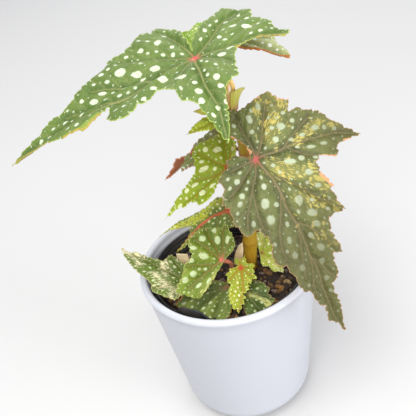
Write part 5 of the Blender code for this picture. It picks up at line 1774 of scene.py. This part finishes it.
# %% [markdown]
# ## The soil
# Potting mix is dark crumbs with bits of bark, clay and pale mineral grains of 1 to 5 mm. The surface is a
# disc with lumps, and up to 950 rough grains lie on it, clear of the stems. Each grain keeps a number from 0
# to 1 that picks its colour.

# %% Soil paint and surface
SOIL_RADIUS = 36.0
SOIL_STOPS = [
    (0.0, (34, 26, 20)), (0.4, (64, 47, 32)), (0.58, (96, 70, 42)), (0.72, (152, 110, 54)),
    (0.84, (96, 84, 76)), (0.92, (150, 132, 118)), (1.0, (186, 158, 104))]


def soil_height(x, y):
    """Lumpy top of the soil."""
    broad = noise.noise(Vector((x, y, 0.0)) * 0.35)
    fine = noise.fractal(Vector((x, y, 3.0)) * 0.9, 0.8, 2.0, 4)
    return SOIL_TOP + broad + 0.45 * fine


def make_soil_paint():
    """Node group for soil: the stored number picks a colour from dark crumb to pale mineral."""
    tree, given, result = new_group("soil_paint", [], [])
    place = tree.nodes.new("ShaderNodeTexCoord").outputs["Object"]
    ramp = tree.nodes.new("ShaderNodeValToRGB")
    ramp.color_ramp.elements[0].color = screen(*SOIL_STOPS[0][1])
    ramp.color_ramp.elements[1].color = screen(*SOIL_STOPS[-1][1])
    for position, colour in SOIL_STOPS[1:-1]:
        ramp.color_ramp.elements.new(position).color = screen(*colour)
    tree.links.new(stored(tree, "kind"), ramp.inputs[0])
    crumbs = cloud(tree, place, 900.0, 4.0)
    dark = smooth_step(tree, crumbs, 0.35, 0.65, 0.55, 0.0)
    colour = blend_colour(tree, dark, ramp.outputs[0], screen(22, 17, 13))
    return finish_group(tree, given, result, colour, crumbs, crumbs, 0.0)


soil_paint = group_material("potting_mix", make_soil_paint(), {}, 0.85, 0.6)
print("soil paint has", len(SOIL_STOPS), "colours")

# %% [markdown]
# A grain is a small ball of points, pushed in and out by noise and squashed, with the hull round them as its
# faces. The disc and the grains become one mesh.

# %% Soil
SOIL_SEGMENTS = 150
SOIL_RINGS = 52
SOIL_EDGE_DROP = 0.8
SOIL_SIDE = 9.0
GRAIN_COUNT = 950
GRAIN_POINTS = 26
GRAIN_SIZES = [0.7, 0.9, 1.1, 1.4, 1.9]
GRAIN_ROUGHNESS = 0.35
GRAIN_TILT = 0.6
GRAIN_SHARP = 42
STEM_MARGIN = 2.0


def grain_shape(draw):
    """A rough lump: an even ball of points, pushed in and out and squashed."""
    golden = math.pi * (3 - math.sqrt(5))
    points = []
    for index in range(GRAIN_POINTS):
        level = 1 - 2 * (index + 0.5) / GRAIN_POINTS
        ring = math.sqrt(1 - level * level)
        points.append(Vector((ring * math.cos(golden * index), ring * math.sin(golden * index), level)))
    size = Vector((draw.uniform(0.8, 1.3), draw.uniform(0.7, 1.0), draw.uniform(0.45, 0.8)))
    shift = Vector((draw.uniform(0.0, 50.0), 0, 0))
    return [size * point * (1 + GRAIN_ROUGHNESS * noise.noise(point * 1.4 + shift)) for point in points]


def hull_faces(points):
    """Faces of the hull round some points."""
    work = bmesh.new()
    for point in points:
        work.verts.new(point)
    bmesh.ops.convex_hull(work, input=work.verts)
    work.verts.index_update()
    faces = [tuple(vertex.index for vertex in face.verts) for face in work.faces]
    work.free()
    return faces


def soil_disc():
    """Points and faces of the lumpy surface and its side."""
    segments = SOIL_SEGMENTS
    points = [(0.0, 0.0, soil_height(0.0, 0.0))]
    for ring in range(1, SOIL_RINGS + 1):
        radius = SOIL_RADIUS * ring / SOIL_RINGS
        for turn in range(segments):
            angle = 2 * math.pi * turn / segments
            x, y = radius * math.cos(angle), radius * math.sin(angle)
            points.append((x, y, soil_height(x, y) - (SOIL_EDGE_DROP if ring == SOIL_RINGS else 0.0)))
    points += [(x * 0.97, y * 0.97, SOIL_TOP - SOIL_SIDE) for x, y, _ in points[-segments:]]
    faces = [(0, 1 + turn, 1 + (turn + 1) % segments) for turn in range(segments)]
    for ring in range(SOIL_RINGS):
        for turn in range(segments):
            here = 1 + ring * segments + turn
            following = 1 + ring * segments + (turn + 1) % segments
            faces.append((here, here + segments, following + segments, following))
    return points, faces


def soil_grains(draw):
    """The grains that lie clear of the stems, each as its points and its colour number."""
    stems = [CANE_ROUTE[1][0][:2]]
    stems += [leaf["soil_hole"] for leaf in (*LEAVES.values(), *BRACTS.values()) if "soil_hole" in leaf]
    for _ in range(GRAIN_COUNT):
        reach = (SOIL_RADIUS - 2.0) * math.sqrt(draw.random())
        angle = draw.uniform(0, 2 * math.pi)
        x, y = reach * math.cos(angle), reach * math.sin(angle)
        size = draw.choice(GRAIN_SIZES) * draw.uniform(0.8, 1.2)
        if min(math.dist((x, y), stem) for stem in stems) < STEM_MARGIN + size:
            continue
        turn = Matrix.Rotation(draw.uniform(0, 6.28), 3, "Z")
        turn = turn @ Matrix.Rotation(draw.uniform(-GRAIN_TILT, GRAIN_TILT), 3, "X")
        place = Vector((x, y, soil_height(x, y) + size * 0.15))
        yield [turn @ point * size + place for point in grain_shape(draw)], draw.random()


def make_soil():
    """Lumpy disc and the grains that lie on it, in one mesh."""
    points, faces = soil_disc()
    kind = [0.1 + 0.35 * (0.5 + 0.5 * noise.noise(Vector(point) * 0.8)) for point in points]
    for lump, number in soil_grains(random.Random(5)):
        start = len(points)
        points += [tuple(point) for point in lump]
        faces += [tuple(corner + start for corner in face) for face in hull_faces(lump)]
        kind += [number] * len(lump)
    soil = new_piece("soil_crumbs", points, faces, [soil_paint], {"kind": kind})
    soil.data.set_sharp_from_angle(angle=math.radians(GRAIN_SHARP))
    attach(soil, "root")
    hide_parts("soil")
    return soil


soil = make_soil()
print("soil has", len(soil.data.polygons), "faces")

# %% [markdown]
# ## Floor and light
# A plain pale floor catches a soft shadow. Four large soft lights do the work of a bright room: one above, a
# low window on the right, one high in front, and one behind that rims the leaves. A pale sky fills the
# shadows. Each light has its place, the height that it points at above the middle of the floor, its size,
# its power and its colour, in metres and watts.

# %% Floor and light
FLOOR_HALF = 8.0
LIGHTS = [
    ("ceiling", (-0.30, -0.35, 1.35), 0.10, 0.70, 11.0, (1.0, 0.99, 0.97)),
    ("window", (1.05, -0.80, 0.42), 0.10, 0.70, 10.0, (0.97, 0.98, 1.0)),
    ("front", (-0.20, -1.05, 1.00), 0.10, 0.80, 10.0, (1.0, 0.99, 0.98)),
    ("back", (0.10, 1.05, 0.95), 0.14, 0.80, 5.0, (1.0, 1.0, 1.0)),
]
SKY_COLOUR = (0.9, 0.93, 1.0, 1.0)
SKY_STRENGTH = 0.6


def add_floor():
    """Large pale floor."""
    size = FLOOR_HALF
    mesh = bpy.data.meshes.new("floor")
    corners = [(-size, -size, 0.0), (size, -size, 0.0), (size, size, 0.0), (-size, size, 0.0)]
    mesh.from_pydata(corners, [], [(0, 1, 2, 3)])
    material = bpy.data.materials.new("floor")
    material.use_nodes = True
    shader = material.node_tree.nodes["Principled BSDF"]
    shader.inputs["Base Color"].default_value = screen(206, 205, 203)
    shader.inputs["Roughness"].default_value = 0.8
    mesh.materials.append(material)
    floor = bpy.data.objects.new("floor", mesh)
    bpy.context.scene.collection.objects.link(floor)
    return floor


def add_light(name, place, target_height, size, power, colour):
    """A square soft light that points at a height above the middle of the floor."""
    data = bpy.data.lights.new(name, "AREA")
    data.shape = "SQUARE"
    data.size = size
    data.energy = power
    data.color = colour
    light = bpy.data.objects.new(name, data)
    way = Vector((0.0, 0.0, target_height)) - Vector(place)
    light.matrix_world = Matrix.Translation(place) @ way.to_track_quat("-Z", "Y").to_matrix().to_4x4()
    bpy.context.scene.collection.objects.link(light)
    return light


add_floor()
for light in LIGHTS:
    add_light(*light)
world = bpy.data.worlds.new("room")
world.use_nodes = True
sky = world.node_tree.nodes["Background"]
sky.inputs["Color"].default_value = SKY_COLOUR
sky.inputs["Strength"].default_value = SKY_STRENGTH
bpy.context.scene.world = world
bpy.context.scene.view_settings.view_transform = "Standard"
print("lights and floor set")

# %% [markdown]
# ## Last update
# The dressed plant should fill the same box as the solids. The scene is brought up to date once more.


bpy.context.view_layer.update()
